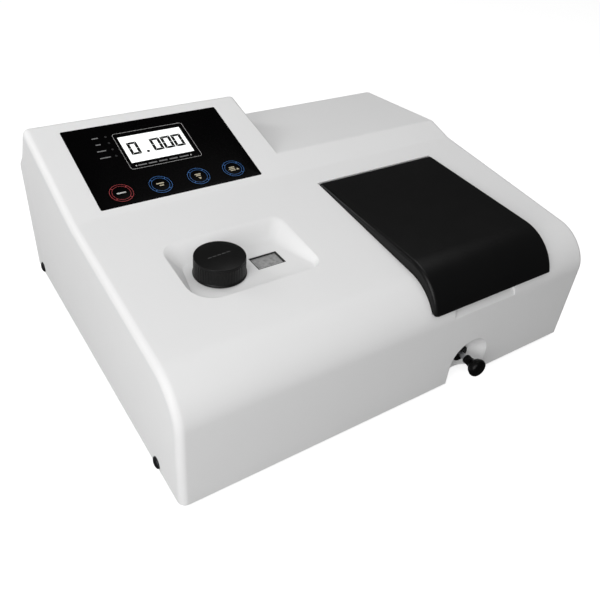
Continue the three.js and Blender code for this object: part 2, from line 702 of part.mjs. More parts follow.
// A concave mirror: a disc on a foot, its face hollowed by a large sphere.
function collimatingMirror() {
  const { radius, x, curveRadius, y } = MIRROR;
  const middle = BEAM.z + 2;
  const disc = bar("x", radius, x, [0, y, middle], { sides: 24 });
  const sphere = new THREE.SphereGeometry(curveRadius, 48, 24);
  const curve = sphere.translate(x[1] - 3 + curveRadius, y, middle);
  const foot = block([x[0], x[1] - 0.5], around(y, 12), [OPTICS.base[1] + OPTICS.wall + 2 * GAP, 28]);
  return cut(joined(disc, foot), solidOf(curve));
}

const MIRROR = { radius: 27, x: [36, 44], y: BEAM.y, curveRadius: 160 };
const LAMP = { x: OPTICS.slitX, y: 226 };
const LAMP_HOUSE = { width: 58, y: [192, 262], z: [9.4, 96], sheet: 1.5, windowRadius: 9 };
const LAMP_SLOTS = { count: 5, pitch: 9, width: 4, z: [60, 88] };

function lampHouse() {
  const { width, y, z, sheet, windowRadius } = LAMP_HOUSE;
  const outer = block(around(LAMP.x, width / 2), y, z);
  const inner = block(around(LAMP.x, width / 2 - sheet), grown(y, -sheet), [z[0] + sheet, z[1] + 20]);
  const window = bar("y", windowRadius, around(y[0], 8), [LAMP.x, 0, BEAM.z], { sides: 24 });
  const slots = Array.from({ length: LAMP_SLOTS.count }, (_, i) => {
    const x = LAMP.x + (i - (LAMP_SLOTS.count - 1) / 2) * LAMP_SLOTS.pitch;
    return block(around(x, LAMP_SLOTS.width / 2), around(y[1], 6), LAMP_SLOTS.z);
  });
  return cut(outer, inner, window, ...slots);
}

function halogenLamp() {
  const profile = [
    [0, 31.5], [2.4, 31.5], [2.4, 37], [4.8, 38.5], [5.6, 42], [5.6, 48], [4.2, 52.5], [1.4, 55], [0, 55.4],
  ];
  return turned("z", profile, [0, 0, 0], 24);
}

function lampHolder() {
  const post = block(around(0, 5), [8, 14], [LAMP_HOUSE.z[0] + 2, 30]);
  const socket = block(around(0, 9), [-8, 14], [21, 31]);
  return cut(joined(post, socket), bar("z", 3, [28, 40], [0, 0, 0], { sides: 16 }));
}

function condenserLens() {
  const profile = [[0, -4.5], [5, -3.6], [9.5, -1.2], [9.5, 1.2], [5, 3.6], [0, 4.5]];
  return turned("y", profile);
}

function detectorHousing() {
  const outer = block([398, 440], [78, 122], [OPTICS.base[1] + GAP, 76]);
  const eye = bar("x", 8, [390, 425], [0, BEAM.y, BEAM.z], { sides: 24 });
  const connector = block([408, 430], [120, 128], [50, 64]);
  return cut(joined(outer, connector), eye);
}

// ---------------------------------------------------------------------------------------------
// Keypad panel and electronics

function panelOverlay() {
  const sheet = block(OVERLAY.x, OVERLAY.v, [-0.5, 0.2]);
  const through = around(0, 3);
  const screen = block(grown(SCREEN.x, GAP), grown(SCREEN.v, GAP), through);
  const keys = KEYS.x.map((x) => bar("z", KEYS.radius + GAP, through, [x, KEYS.v, 0]));
  const lamps = LAMPS.v.map((v) => bar("z", LAMPS.radius + GAP, through, [LAMPS.x, v, 0], { sides: 16 }));
  return cut(sheet, screen, ...keys, ...lamps);
}

function displayScreen() {
  const module = block(MODULE.x, MODULE.v, [MODULE.back, -1]);
  return joined(module, block(SCREEN.x, SCREEN.v, [-2, 0]));
}

function key() {
  const cap = bar("z", KEYS.radius, [-2.2, 0.4]);
  return joined(cap, bar("z", 3.5, [-5, -2], [0, 0, 0], { sides: 16 }));
}

function displayBoard() {
  const sheet = block([40, 194], [10, 114], [-12.6, -11]);
  const switches = KEYS.x.map((x) => block(around(x, 3), around(KEYS.v, 3), [-11.5, -5.8]));
  const stand = block([84, 148], [62, 98], [-11.5, -8.4]);
  return joined(sheet, ...switches, stand);
}

function mainBoard() {
  const sheet = block([252, 366], [276, 362], [12, 13.6]);
  const chips = [
    [[262, 290], [290, 308], [13, 17]],
    [[300, 318], [288, 298], [13, 17]],
    [[262, 282], [322, 346], [13, 26]],
    [[330, 356], [284, 300], [13, 22]],
    [[300, 344], [316, 328], [13, 20]],
  ];
  const canPlaces = [[318, 346], [334, 346], [296, 342]];
  const cans = canPlaces.map(([x, y]) => bar("z", 6, [13, 34], [x, y, 0], { sides: 16 }));
  return joined(sheet, ...chips.map((size) => block(...size)), ...cans);
}

const TRANSFORMER = { x: [384, 444], y: [300, 352], z: [3, 62] };

function transformer() {
  const { x, y, z } = TRANSFORMER;
  const core = block([x[0] + 4, x[1] - 4], [y[0] + 14, y[1] - 14], [z[0] + 3, z[1]]);
  const coil = block([x[0] + 12, x[1] - 12], y, [z[0] + 12, z[1] - 10]);
  const strap = block(x, [y[0] + 16, y[1] - 16], [z[0], z[0] + 4]);
  return joined(core, coil, strap);
}

// ---------------------------------------------------------------------------------------------
// Assembly

panelGroup.position.set(0, PANEL.y, topAt(PANEL.y));
panelGroup.rotation.x = Math.atan(PANEL.slope);

function addCase() {
  addPiece("top_cover", "cover", topCover());
  addPiece("base_tray", "sheet", baseTray());
  const corners = { front_left: [0, 0], front_right: [1, 0], rear_left: [0, 1], rear_right: [1, 1] };
  for (const [corner, [right, rear]] of Object.entries(corners)) {
    const x = right ? WIDTH - FOOT.inset : FOOT.inset;
    const y = rear ? DEPTH - FOOT.inset : FOOT.inset;
    addPiece("foot_" + corner, "rubber", foot(), [x, y, -FOOT.height]);
    const screwAt = [right * WIDTH, SCREW.y[rear], SCREW.z];
    const screw = addPiece("side_screw_" + corner, "screw", sideScrew(), screwAt);
    screw.rotation.z = right ? Math.PI : 0;
  }
  addPiece("rear_panel", "sheet", rearPanel());
  addPiece("power_inlet", "lid", powerInlet());
  addPiece("switch_frame", "lid", rockerFrame());
  addPiece("power_rocker", "lid", powerRocker(), [ROCKER.x, ROCKER.y, ROCKER.z]);
  addPiece("data_port", "steel", dataPort());
}

function addSampleCompartment() {
  addPiece("sample_lid", "lid", sampleLid());
  const pinSpan = HINGE_EAR + 3;
  const earStarts = { left: LID.x[0] + LID.wall + 1, right: LID.x[1] - LID.wall - 1 - HINGE_EAR };
  for (const [side, x] of Object.entries(earStarts)) {
    const pinX = side === "left" ? x - 3 : x;
    addPiece("hinge_bracket_" + side, "sheet", hingeBracket(), [x, 0, 0]);
    addPiece(
      "hinge_pin_" + side,
      "steel",
      bar("x", LID_PIVOT.pin, [0, pinSpan], [0, 0, 0], { sides: 16 }),
      [pinX, LID_PIVOT.y, LID_PIVOT.z],
    );
  }
  addPiece("sample_chamber", "lid", sampleChamber());
  addPiece("cuvette_rack", "cast", cuvetteRack());
  RAIL.x.forEach((x, i) => {
    const rail = bar("y", RAIL.radius, grown(CHAMBER.y, -CHAMBER.wall - GAP), [0, 0, 0], { sides: 16 });
    addPiece("rack_rail_" + ["left", "right"][i], "steel", rail, [x, 0, ROD.z]);
  });
  addPiece("rack_rod", "steel", bar("y", ROD.radius, ROD.y), [ROD.x, 0, ROD.z]);
  addPiece("rod_knob", "lid", rodKnob(), [ROD.x, 0, ROD.z]);
  addPiece("rod_bush", "lid", rodBush(), [ROD.x, 0, ROD.z]);
}

function addWavelengthDrive() {
  const atKnob = [KNOB.x, KNOB.y, 0];
  const atDial = [dialX, dialY, 0];
  addPiece("wavelength_knob", "lid", wavelengthKnob(), atKnob);
  addPiece("knob_shaft", "steel", bar("z", SHAFT_RADIUS, [SHAFT_BOTTOM, KNOB.top - 4]), atKnob);
  addPiece("shaft_bush", "brass", shaftBush(), atKnob);
  addPiece("drive_pinion", "brass", drivePinion(), atKnob);
  addPiece("dial_gear", "brass", dialGear(), atDial);
  addPiece("dial_disc", "dial", bar("z", DIAL.radius, DIAL.z, [0, 0, 0], { sides: 48 }), atDial);
  const pane = block(grown(WINDOW.x, -GAP), grown(WINDOW.y, -GAP), [RECESS.floor - 2.6, RECESS.floor - 1.4]);
  addPiece("dial_window", "glass", pane);
}

function addOptics() {
  addPiece("optical_base", "cast", opticalBase());
  addPiece("monochromator_housing", "cast", monochromatorHousing());
  addPiece("monochromator_cover", "sheet", monochromatorCover());
  addPiece("grating_table", "brass", gratingTable(), [GRATING.x, GRATING.y, 0]);
  const tableTop = OPTICS.base[1] + OPTICS.wall + GAP + TABLE.high;
  const plate = block(around(0, GRATING.thickness / 2), around(0, GRATING.side / 2), [0, GRATING.side]);
  const grating = addPiece("grating", "glass", plate, [GRATING.x, GRATING.y, tableTop + GAP]);
  grating.rotation.z = GRATING.turn;
  addPiece("collimating_mirror", "glass", collimatingMirror());
  addPiece("exit_slit", "steel", slitPlate(), [OPTICS.boxX[1] + GAP, BEAM.y, BEAM.z]);
  const entranceAt = [OPTICS.slitX, OPTICS.boxY[1] + GAP, BEAM.z];
  const entrance = addPiece("entrance_slit", "steel", slitPlate(), entranceAt);
  entrance.rotation.z = Math.PI / 2;
  addPiece("lamp_house", "sheet", lampHouse());
  addPiece("lamp_holder", "dial", lampHolder(), [LAMP.x, LAMP.y, 0]);
  addPiece("halogen_lamp", "glass", halogenLamp(), [LAMP.x, LAMP.y, 0]);
  addPiece("condenser_lens", "glass", condenserLens(), [LAMP.x, LAMP_HOUSE.y[0] + 12, BEAM.z]);
  addPiece("detector_housing", "cast", detectorHousing());
}

function addElectronics() {
  addPiece("panel_overlay", "overlay", panelOverlay(), [0, 0, 0], panelGroup);
  addPiece("display_screen", "screen", displayScreen(), [0, 0, 0], panelGroup);
  KEYS.names.forEach((name, i) => {
    addPiece(name, i === 0 ? "redKey" : "blueKey", key(), [KEYS.x[i], KEYS.v, 0], panelGroup);
  });
  LAMPS.v.forEach((v, i) => {
    const lamp = bar("z", LAMPS.radius, [-9, 0.3], [0, 0, 0], { sides: 16 });
    addPiece("indicator_" + (i + 1), "lamp", lamp, [LAMPS.x, v, 0], panelGroup);
  });
  addPiece("display_board", "board", displayBoard(), [0, 0, 0], panelGroup);
  addPiece("main_board", "board", mainBoard());
  addPiece("transformer", "winding", transformer());
}

addCase();
addSampleCompartment();
addWavelengthDrive();
addOptics();
addElectronics();
caseGroup.add(panelGroup);

caseGroup.position.set(-WIDTH / 2, -(ROD_KNOB_FRONT + DEPTH) / 2, FOOT.height);
instrument.add(caseGroup);

export default instrument;
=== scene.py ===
"""Looks for a benchtop spectrophotometer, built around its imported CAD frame.

Lengths named here are millimetres in the case frame: X from the cover's left wall, Y from its
front face, Z from its lower edge. MM turns them into Blender's metres.
"""

import json
import math

import bmesh
import bpy
from mathutils import Matrix, Vector


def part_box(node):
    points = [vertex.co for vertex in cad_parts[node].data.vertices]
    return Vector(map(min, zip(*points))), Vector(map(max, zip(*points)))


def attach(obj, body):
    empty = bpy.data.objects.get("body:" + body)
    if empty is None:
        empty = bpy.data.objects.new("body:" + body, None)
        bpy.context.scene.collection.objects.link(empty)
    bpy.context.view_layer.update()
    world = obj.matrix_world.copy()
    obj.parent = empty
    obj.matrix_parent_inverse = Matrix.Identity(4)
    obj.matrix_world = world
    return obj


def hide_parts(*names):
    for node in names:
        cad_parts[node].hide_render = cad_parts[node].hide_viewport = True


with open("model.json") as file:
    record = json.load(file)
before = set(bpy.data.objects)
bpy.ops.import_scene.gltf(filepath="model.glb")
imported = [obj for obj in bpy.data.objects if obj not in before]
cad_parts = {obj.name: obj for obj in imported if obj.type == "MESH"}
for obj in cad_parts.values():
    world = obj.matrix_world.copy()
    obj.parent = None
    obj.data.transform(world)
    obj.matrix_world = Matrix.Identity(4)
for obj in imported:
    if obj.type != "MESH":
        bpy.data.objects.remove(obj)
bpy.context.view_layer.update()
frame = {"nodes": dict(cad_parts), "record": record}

MM = 0.001
COVER_LOW, COVER_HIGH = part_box("top_cover")
WIDTH = (COVER_HIGH.x - COVER_LOW.x) / MM
DEPTH = (COVER_HIGH.y - COVER_LOW.y) / MM

# The cover's side outline, as in the CAD part
WALL = 3.0
EDGE_ROUND = 7.0
TOP_SLOPE = 0.107
TOP_HEIGHT = 121.0
NOSE_RADIUS = 45.3
NOSE_TIP = (0.0, 90.3)
PANEL_Y = 217.2
PANEL_SLOPE = 0.3
DECK_FRONT_Y = 248.4
DECK_BACK = (374.7, 144.7)
HOUSING_WIDTH = 232.7
HOUSING_BACK_Y = 347.3
BACK_EDGE = (391.0, 130.0)
BACK_WALL_Z = 126.0
CREASE_ROUND = 30.0
HOUSING_BACK_ROUND = 7.4
DECK_FRONT_ROUND = 12.0
BACK_ROUND = 8.0
WALL_ROUND = 11.0

# The lid
LID_SLOPE = 0.043
LID_HEIGHT = 135.25
LID_RADIUS = 47.7
LID_TIP = (-1.0, 101.6)
LID_WALL = 2.5
LID_ROUND = 3.5
HINGE_BARREL = 6.0
FIT_GAP = 0.4


def case_box(node):
    """The low and high corners of a CAD node's box in the case frame."""
    return [(corner - COVER_LOW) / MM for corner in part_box(node)]


def middle(box):
    """The centre of a (low, high) box."""
    return (box[0] + box[1]) / 2


def top_at(y):
    return TOP_HEIGHT + TOP_SLOPE * y


def panel_at(y):
    return top_at(PANEL_Y) + PANEL_SLOPE * (y - PANEL_Y)


CASE_MATRIX = Matrix.Translation(COVER_LOW) @ Matrix.Scale(MM, 4)
PANEL_TILT = math.atan(PANEL_SLOPE)
PANEL_MATRIX = (
    CASE_MATRIX @ Matrix.Translation((0, PANEL_Y, top_at(PANEL_Y))) @ Matrix.Rotation(PANEL_TILT, 4, "X")
)


# Mesh helpers: every shape is drawn in millimetres, then placed by a matrix.


def new_object(name, data):
    obj = bpy.data.objects.new(name, data)
    bpy.context.scene.collection.objects.link(obj)
    return obj


def reshade(obj, angle=32):
    """Smooth shading, with sharp edges where faces turn by more than the angle."""
    obj.data.shade_smooth()
    obj.data.set_sharp_from_angle(angle=math.radians(angle))


def finish_mesh(name, bm, matrix=CASE_MATRIX):
    """Turns a bmesh drawn in millimetres into an object in the row frame."""
    bmesh.ops.remove_doubles(bm, verts=bm.verts, dist=0.004)
    bmesh.ops.recalc_face_normals(bm, faces=bm.faces)
    if bm.calc_volume(signed=True) < 0:
        bmesh.ops.reverse_faces(bm, faces=bm.faces)
    bmesh.ops.transform(bm, matrix=matrix, verts=bm.verts)
    mesh = bpy.data.meshes.new(name)
    bm.to_mesh(mesh)
    bm.free()
    obj = new_object(name, mesh)
    reshade(obj)
    return obj


def add_rings(bm, rings, closed=True, cap_start=True, cap_end=True):
    """Joins rows of points with quads. Closed rings wrap round; caps fill the first and last ring."""
    rows = [[bm.verts.new(point) for point in ring] for ring in rings]
    for lower, upper in zip(rows, rows[1:]):
        count = len(lower)
        for i in range(count if closed else count - 1):
            j = (i + 1) % count
            bm.faces.new((lower[i], lower[j], upper[j], upper[i]))
    if cap_start:
        bm.faces.new(rows[0])
    if cap_end:
        bm.faces.new(rows[-1])
    return rows


def round_outline(x, y, radius, steps):
    """A circle's points with their outward normals: (x, y, nx, ny)."""
    turns = [(math.cos(2 * math.pi * i / steps), math.sin(2 * math.pi * i / steps)) for i in range(steps)]
    return [(x + radius * nx, y + radius * ny, nx, ny) for nx, ny in turns]


def flat(outline):
    """An outline's points without their normals."""
    return [(x, y) for x, y, _, _ in outline]


AXIS_MATRIX = {
    "z": Matrix.Identity(4),
    "y": Matrix.Rotation(-math.pi / 2, 4, "X"),
    "x": Matrix.Rotation(math.pi / 2, 4, "Y"),
    "-x": Matrix.Rotation(-math.pi / 2, 4, "Y"),
}


def add_turned(bm, profile, at, axis="z", steps=64, capped=True):
    """A turned body from [radius, station] pairs. Stations run along the axis, from the point `at`."""
    place = Matrix.Translation(Vector(at)) @ AXIS_MATRIX[axis]
    rings = []
    for radius, station in profile:
        outline = flat(round_outline(0, 0, radius, steps))
        rings.append([place @ Vector((x, y, station)) for x, y in outline])
    add_rings(bm, rings, cap_start=capped, cap_end=capped)


def add_block(bm, xs, ys, zs):
    ring = [(xs[0], ys[0]), (xs[1], ys[0]), (xs[1], ys[1]), (xs[0], ys[1])]
    add_rings(bm, [[(x, y, z) for x, y in ring] for z in zs])


def add_plate(bm, outline, low, high):
    """A flat plate from an outline of (x, y) points, between two heights."""
    add_rings(bm, [[(x, y, z) for x, y in outline] for z in (low, high)])


def add_plates(bm, outlines, low, high):
    for outline in outlines:
        add_plate(bm, outline, low, high)


def add_pin(bm, radius, ends, at, axis="z", steps=48):
    """A plain cylinder between two stations of its axis."""
    add_turned(bm, [(radius, end) for end in ends], at, axis, steps)


def corner_turn(x, y, start, radius, steps, grow=0.0):
    """The rounded corner at (x, y), from an angle of `start` degrees, with its outward normals."""
    diagonal = math.radians(start + 45)
    cx = x - math.copysign(radius, math.cos(diagonal))
    cy = y - math.copysign(radius, math.sin(diagonal))
    reach = radius + grow
    angles = [math.radians(start + 90 * i / steps) for i in range(steps + 1)]
    turns = [(math.cos(angle), math.sin(angle)) for angle in angles]
    return [(cx + reach * nx, cy + reach * ny, nx, ny) for nx, ny in turns]


def rounded_rectangle(xs, ys, radius, steps=8, grow=0.0):
    """Outline points with their outward normals: (x, y, nx, ny). One radius, or one for each corner."""
    radii = radius if isinstance(radius, tuple) else (radius,) * 4
    corners = [(xs[1], ys[0], -90), (xs[1], ys[1], 0), (xs[0], ys[1], 90), (xs[0], ys[0], 180)]
    points = []
    for corner, corner_radius in zip(corners, radii):
        points += corner_turn(*corner, corner_radius, steps, grow)
    return points


def add_cushioned_plate(bm, outline, low, high, edge, steps=4):
    """A plate whose top edge is rounded: outline holds (x, y, nx, ny) points."""
    rings = [[(x, y, low) for x, y, _, _ in outline]]
    for i in range(steps + 1):
        angle = math.pi / 2 * i / steps
        inward = edge * (1 - math.cos(angle))
        height = high - edge + edge * math.sin(angle)
        rings.append([(x - inward * nx, y - inward * ny, height) for x, y, nx, ny in outline])
    add_rings(bm, rings)


def shape(name, draw, *arguments, matrix=CASE_MATRIX):
    """An object from one of the add_ functions and its arguments."""
    bm = bmesh.new()
    draw(bm, *arguments)
    return finish_mesh(name, bm, matrix)


def tool(draw, *arguments):
    """A cutting body in the case frame."""
    return shape("tool", draw, *arguments)


def on_panel(name, draw, *arguments):
    """An object drawn in the panel's own frame."""
    return shape(name, draw, *arguments, matrix=PANEL_MATRIX)


def cut(target, tool):
    """Takes the tool away from the target, and deletes the tool."""
    modifier = target.modifiers.new("boolean", "BOOLEAN")
    modifier.object = tool
    modifier.operation = "DIFFERENCE"
    modifier.solver = "MANIFOLD"
    graph = bpy.context.evaluated_depsgraph_get()
    mesh = bpy.data.meshes.new_from_object(target.evaluated_get(graph))
    target.modifiers.clear()
    target.data = mesh
    bpy.data.objects.remove(tool)


def soften_edges(obj, width, segments=2, angle=40):
    """A small bevel on sharp edges, with normals weighted so that flat faces stay flat."""
    bevel = obj.modifiers.new("edges", "BEVEL")
    bevel.width = width * MM
    bevel.segments = segments
    bevel.limit_method = "ANGLE"
    bevel.angle_limit = math.radians(angle)
    weight_normals(obj)


def weight_normals(obj):
    weighted = obj.modifiers.new("normals", "WEIGHTED_NORMAL")
    weighted.keep_sharp = True


# Outlines


def nose_circle(slope, height, radius, tip):
    """The circle that touches the top line and passes through the tip: centre and both end angles."""
    steep = math.hypot(1, slope)
    drop = height - radius * steep - tip[1]
    a = 1 + slope * slope
    b = 2 * (slope * drop - tip[0])
    c = tip[0] ** 2 + drop**2 - radius**2
    y = (-b + math.sqrt(b * b - 4 * a * c)) / (2 * a)
    z = height + slope * y - radius * steep
    return y, z, math.atan2(tip[1] - z, tip[0] - y), math.pi / 2 + math.atan(slope)


def arc(centre_y, centre_z, radius, start, end, steps):
    angles = [start + (end - start) * i / steps for i in range(steps + 1)]
    return [(centre_y + radius * math.cos(a), centre_z + radius * math.sin(a)) for a in angles]


def filleted(corners, steps=8):
    """A path through (y, z, radius) corners, each rounded by its radius; the ends stay as they are."""
    path = [corners[0][:2]]
    for before, here, after in zip(corners, corners[1:], corners[2:]):
        point = Vector(here[:2])
        back = (Vector(before[:2]) - point).normalized()
        ahead = (Vector(after[:2]) - point).normalized()
        half = back.angle(ahead) / 2
        reach = here[2] / math.tan(half)
        centre = point + (back + ahead).normalized() * (here[2] / math.sin(half))
        first, last = point + back * reach, point + ahead * reach
        start = math.atan2(first.y - centre.y, first.x - centre.x)
        end = math.atan2(last.y - centre.y, last.x - centre.x)
        turn = (end - start + math.pi) % (2 * math.pi) - math.pi
        path += arc(centre.x, centre.y, here[2], start, start + turn, steps)
    path.append(corners[-1][:2])
    return path


def with_normals(path):
    """Adds to each point its outward mitre vector: its length keeps both neighbouring faces at distance."""
    placed = []
    for i, point in enumerate(path):
        sides = []
        for a, b in ((i - 1, i), (i, i + 1)):
            if 0 <= a and b < len(path):
                step = (Vector(path[b]) - Vector(path[a])).normalized()
                sides.append(Vector((-step.y, step.x)))
        mean = sum(sides, Vector((0, 0))).normalized()
        placed.append((Vector(point), mean / max(mean.dot(sides[0]), 0.3)))
    return placed


def height_on(path, y):
    """The path's height at y, on its top run."""
    for (y0, z0), (y1, z1) in zip(path, path[1:]):
        if y0 <= y <= y1 and y1 > y0:
            return z0 + (z1 - z0) * (y - y0) / (y1 - y0)
    return path[-1][1]


def soft_start(path, skip):
    """Eases a vertical front into a path: a curve replaces the path's first few points."""
    end, after = Vector(path[skip]), Vector(path[skip + 1])
    slope = (after.y - end.y) / (after.x - end.x)
    control = Vector((path[0][0], end.y + slope * (path[0][0] - end.x)))
    start = control - Vector((0, (end - control).length))
    eased = []
    for i in range(10):
        t = i / 10
        eased.append(tuple(start * (1 - t) ** 2 + control * 2 * t * (1 - t) + end * t * t))
    return eased + list(path[skip:])


STATION_GAP = 0.4
NOSE_STEPS = 44
SOFTENED_STEPS = 8


def spread(stations, path):
    """Leaves out stations that crowd the one before, where the inset rows would fold."""
    kept = [stations[0]]
    for y in stations[1:]:
        rise = height_on(path, y) - height_on(path, kept[-1])
        if math.hypot(y - kept[-1], rise) > STATION_GAP:
            kept.append(y)
    return kept


def case_outlines(bottom):
    """Matching rows of the cover's outline: through the display housing, and through the low deck."""
    cy, cz, tip_angle, top_angle = nose_circle(TOP_SLOPE, TOP_HEIGHT, NOSE_RADIUS, NOSE_TIP)
    nose = soft_start(arc(cy, cz, NOSE_RADIUS, tip_angle, top_angle, NOSE_STEPS), SOFTENED_STEPS)
    wall = (DEPTH, BACK_WALL_Z, WALL_ROUND)
    back = [(*DECK_BACK, BACK_ROUND), (*BACK_EDGE, BACK_ROUND), wall, (DEPTH, 60)]
    front = [nose[-1], (PANEL_Y, top_at(PANEL_Y), CREASE_ROUND)]
    housing_back = (HOUSING_BACK_Y, panel_at(HOUSING_BACK_Y), HOUSING_BACK_ROUND)
    deck_front = (DECK_FRONT_Y, panel_at(DECK_FRONT_Y), DECK_FRONT_ROUND)
    high, low = (filleted([*front, step, *back]) for step in (housing_back, deck_front))
    stations = spread(sorted({round(y, 3) for y, _ in high[1:] + low[1:] if y < DEPTH - 0.01}), low)
    rows = []
    for path in (high, low):
        top = [(y, height_on(path, y)) for y in stations]
        rows.append([(0, bottom), *nose, *top, (DEPTH, BACK_WALL_Z - 4), (DEPTH, bottom)])
    return rows


CROWN_ROUND = 5.5
FOOT_ROUND = 2.5
FULL_STEP = EDGE_ROUND + 3.0
QUARTER = [math.pi / 2 * i / 8 for i in range(9)]


def quarter_turn(x, reach, at, sink, angles):
    """One rounded edge: it ends at x, and starts `reach` further along X and `sink` off the point."""
    return [(x + reach * (1 - math.sin(t)), *(at + sink * (1 - math.cos(t)))) for t in angles]


def case_solid(name, inset, bottom):
    """The cover's outside, or with an inset its hollow: rows across X joined from front to back."""
    high, low = (with_normals(path) for path in case_outlines(bottom))
    step_x = HOUSING_WIDTH - inset
    side = EDGE_ROUND - inset
    rings = []
    for (high_at, high_out), (low_at, low_out) in zip(high, low):
        a = high_at - high_out * inset
        b = low_at - low_out * inset
        share = min(1.0, (a - b).length / FULL_STEP)
        crown, foot = CROWN_ROUND * share, FOOT_ROUND * share
        ring = quarter_turn(inset, side, a, -high_out * side, QUARTER[::-1])
        ring += quarter_turn(step_x, -crown, a, -high_out * crown, QUARTER)
        ring += quarter_turn(step_x, foot, b, low_out * foot, QUARTER[::-1])
        ring += quarter_turn(WIDTH - inset, -side, b, -low_out * side, QUARTER)
        rings.append(ring)
    bm = bmesh.new()
    rows = add_rings(bm, rings, closed=False, cap_start=False, cap_end=False)
    bm.faces.new([row[0] for row in rows])
    bm.faces.new([row[-1] for row in rows])
    bm.faces.new(rows[0] + rows[-1][::-1])
    return finish_mesh(name, bm)


# Cover: its tools and supports

KNOB_LOW, KNOB_HIGH = case_box("wavelength_knob")
KNOB_X, KNOB_Y, _ = middle((KNOB_LOW, KNOB_HIGH))
ROD_X, _, ROD_Z = middle(case_box("rack_rod"))
LID_LOW, LID_HIGH = case_box("sample_lid")
WINDOW_LOW, WINDOW_HIGH = case_box("dial_window")

RECESS_X = (57.6, 182.4)
RECESS_Y = (81.3, 161.0)
RECESS_FLOOR = 126.0
RECESS_RADII = (14.0, 10.0, 16.0, 24.0)
RECESS_SLANT = {"front": 0.6, "right": 1.9, "back": 1.9, "left": 0.85}
RECESS_WALL = 2.5
FLOOR_WALL = 2.8
RECESS_LEVELS = 18
LEFT_REACH = 34.0
LEFT_SHARPNESS = 1.8
CORNER_STEPS = 14
SIDE_STEPS = 8
SCOOP_X, SCOOP_Y = 313.0, -12.7
SCOOP_RADIUS = 27.7
SCOOP_DOME_Z = 23.4
DOME_ANGLES = [math.pi / 2 * i / 24 for i in range(25)]
GRIP_X = (277.5, 356.0)
LIP_Z = LID_TIP[1] - FIT_GAP
SLIT_X = (GRIP_X[0] - 1.1, GRIP_X[0] + 0.9)
ROD_HOLE = 6.4
SHAFT_HOLE = 4.5
VENT_COUNT = 9
VENT_X, VENT_PITCH, VENT_WIDTH = 44, 14, 4


def recess_ring(share):
    """The recess's outline at one level: 0 is the floor and 1 the rim. Deeper sides sweep further in."""
    front, back = RECESS_Y
    sunk = 1 - share
    front_drop, back_drop = (sunk * (top_at(y) - RECESS_FLOOR) for y in RECESS_Y)
    low_y = front + front_drop * RECESS_SLANT["front"]
    high_y = back - back_drop * RECESS_SLANT["back"]
    corners = [
        (RECESS_X[1] - front_drop * RECESS_SLANT["right"], low_y, -90),
        (RECESS_X[1] - back_drop * RECESS_SLANT["right"], high_y, 0),
        (RECESS_X[0] + back_drop * RECESS_SLANT["left"], high_y, 90),
        (RECESS_X[0] + front_drop * RECESS_SLANT["left"], low_y, 180),
    ]
    radii = [rim_radius * (1 + share) / 2 for rim_radius in RECESS_RADII]
    turns = [flat(corner_turn(*corner, radius, CORNER_STEPS)) for corner, radius in zip(corners, radii)]
    ring = []
    for turn, following in zip(turns, turns[1:] + turns[:1]):
        here, there = Vector(turn[-1]), Vector(following[0])
        ring += turn
        ring += [tuple(here.lerp(there, k / SIDE_STEPS)) for k in range(1, SIDE_STEPS)]
    return ring


def recess_tool():
    """The knob recess: its walls sweep softly down to a level floor, from a crisp rim on the left."""
    rings = []
    for i in range(RECESS_LEVELS + 1):
        share = math.sin(math.pi / 2 * i / RECESS_LEVELS)
        soft = 3.5 * share**2.5 - 2.5 * share**3.5
        crisp = 1 - (1 - share) ** 1.35
        ring = []
        for x, y in recess_ring(share):
            nearness = LEFT_SHARPNESS * (RECESS_X[0] + LEFT_REACH - x) / LEFT_REACH
            rise = soft + (crisp - soft) * min(1.0, max(0.0, nearness))
            ring.append((x, y, RECESS_FLOOR + (top_at(y) - RECESS_FLOOR) * rise))
        rings.append(ring)
    rings[-1] = [(x, y, z + 0.02) for x, y, z in rings[-1]]
    rings.append([(x, y, z + 30) for x, y, z in rings[-1]])
    return tool(add_rings, rings)


def scoop_tool(grow=0.0):
    """The hollow round the pull rod: an upright cylinder with a domed top, sunk into the front face."""
    radius = SCOOP_RADIUS + grow
    dome = [(radius * math.cos(a), SCOOP_DOME_Z + radius * math.sin(a)) for a in DOME_ANGLES]
    return tool(add_turned, [(radius, -40), *dome], (SCOOP_X, SCOOP_Y, 0), "z", 128)


def cover_supports():
    """What stands inside the wall: the recess floor, the ledge under the lid's lip, the rod scoop."""
    basin = rounded_rectangle(RECESS_X, RECESS_Y, RECESS_RADII, grow=RECESS_WALL)
    return [
        tool(add_plate, flat(basin), RECESS_FLOOR - FLOOR_WALL, 150),
        tool(add_block, (LID_LOW.x - 4, LID_HIGH.x + 4), (-1, 12), (95, LIP_Z + 6)),
        tool(add_block, (GRIP_X[0] - 2.6, GRIP_X[1] + 2.6), (-0.8, 11.8), (82, LIP_Z + 5)),
        scoop_tool(RECESS_WALL),
    ]


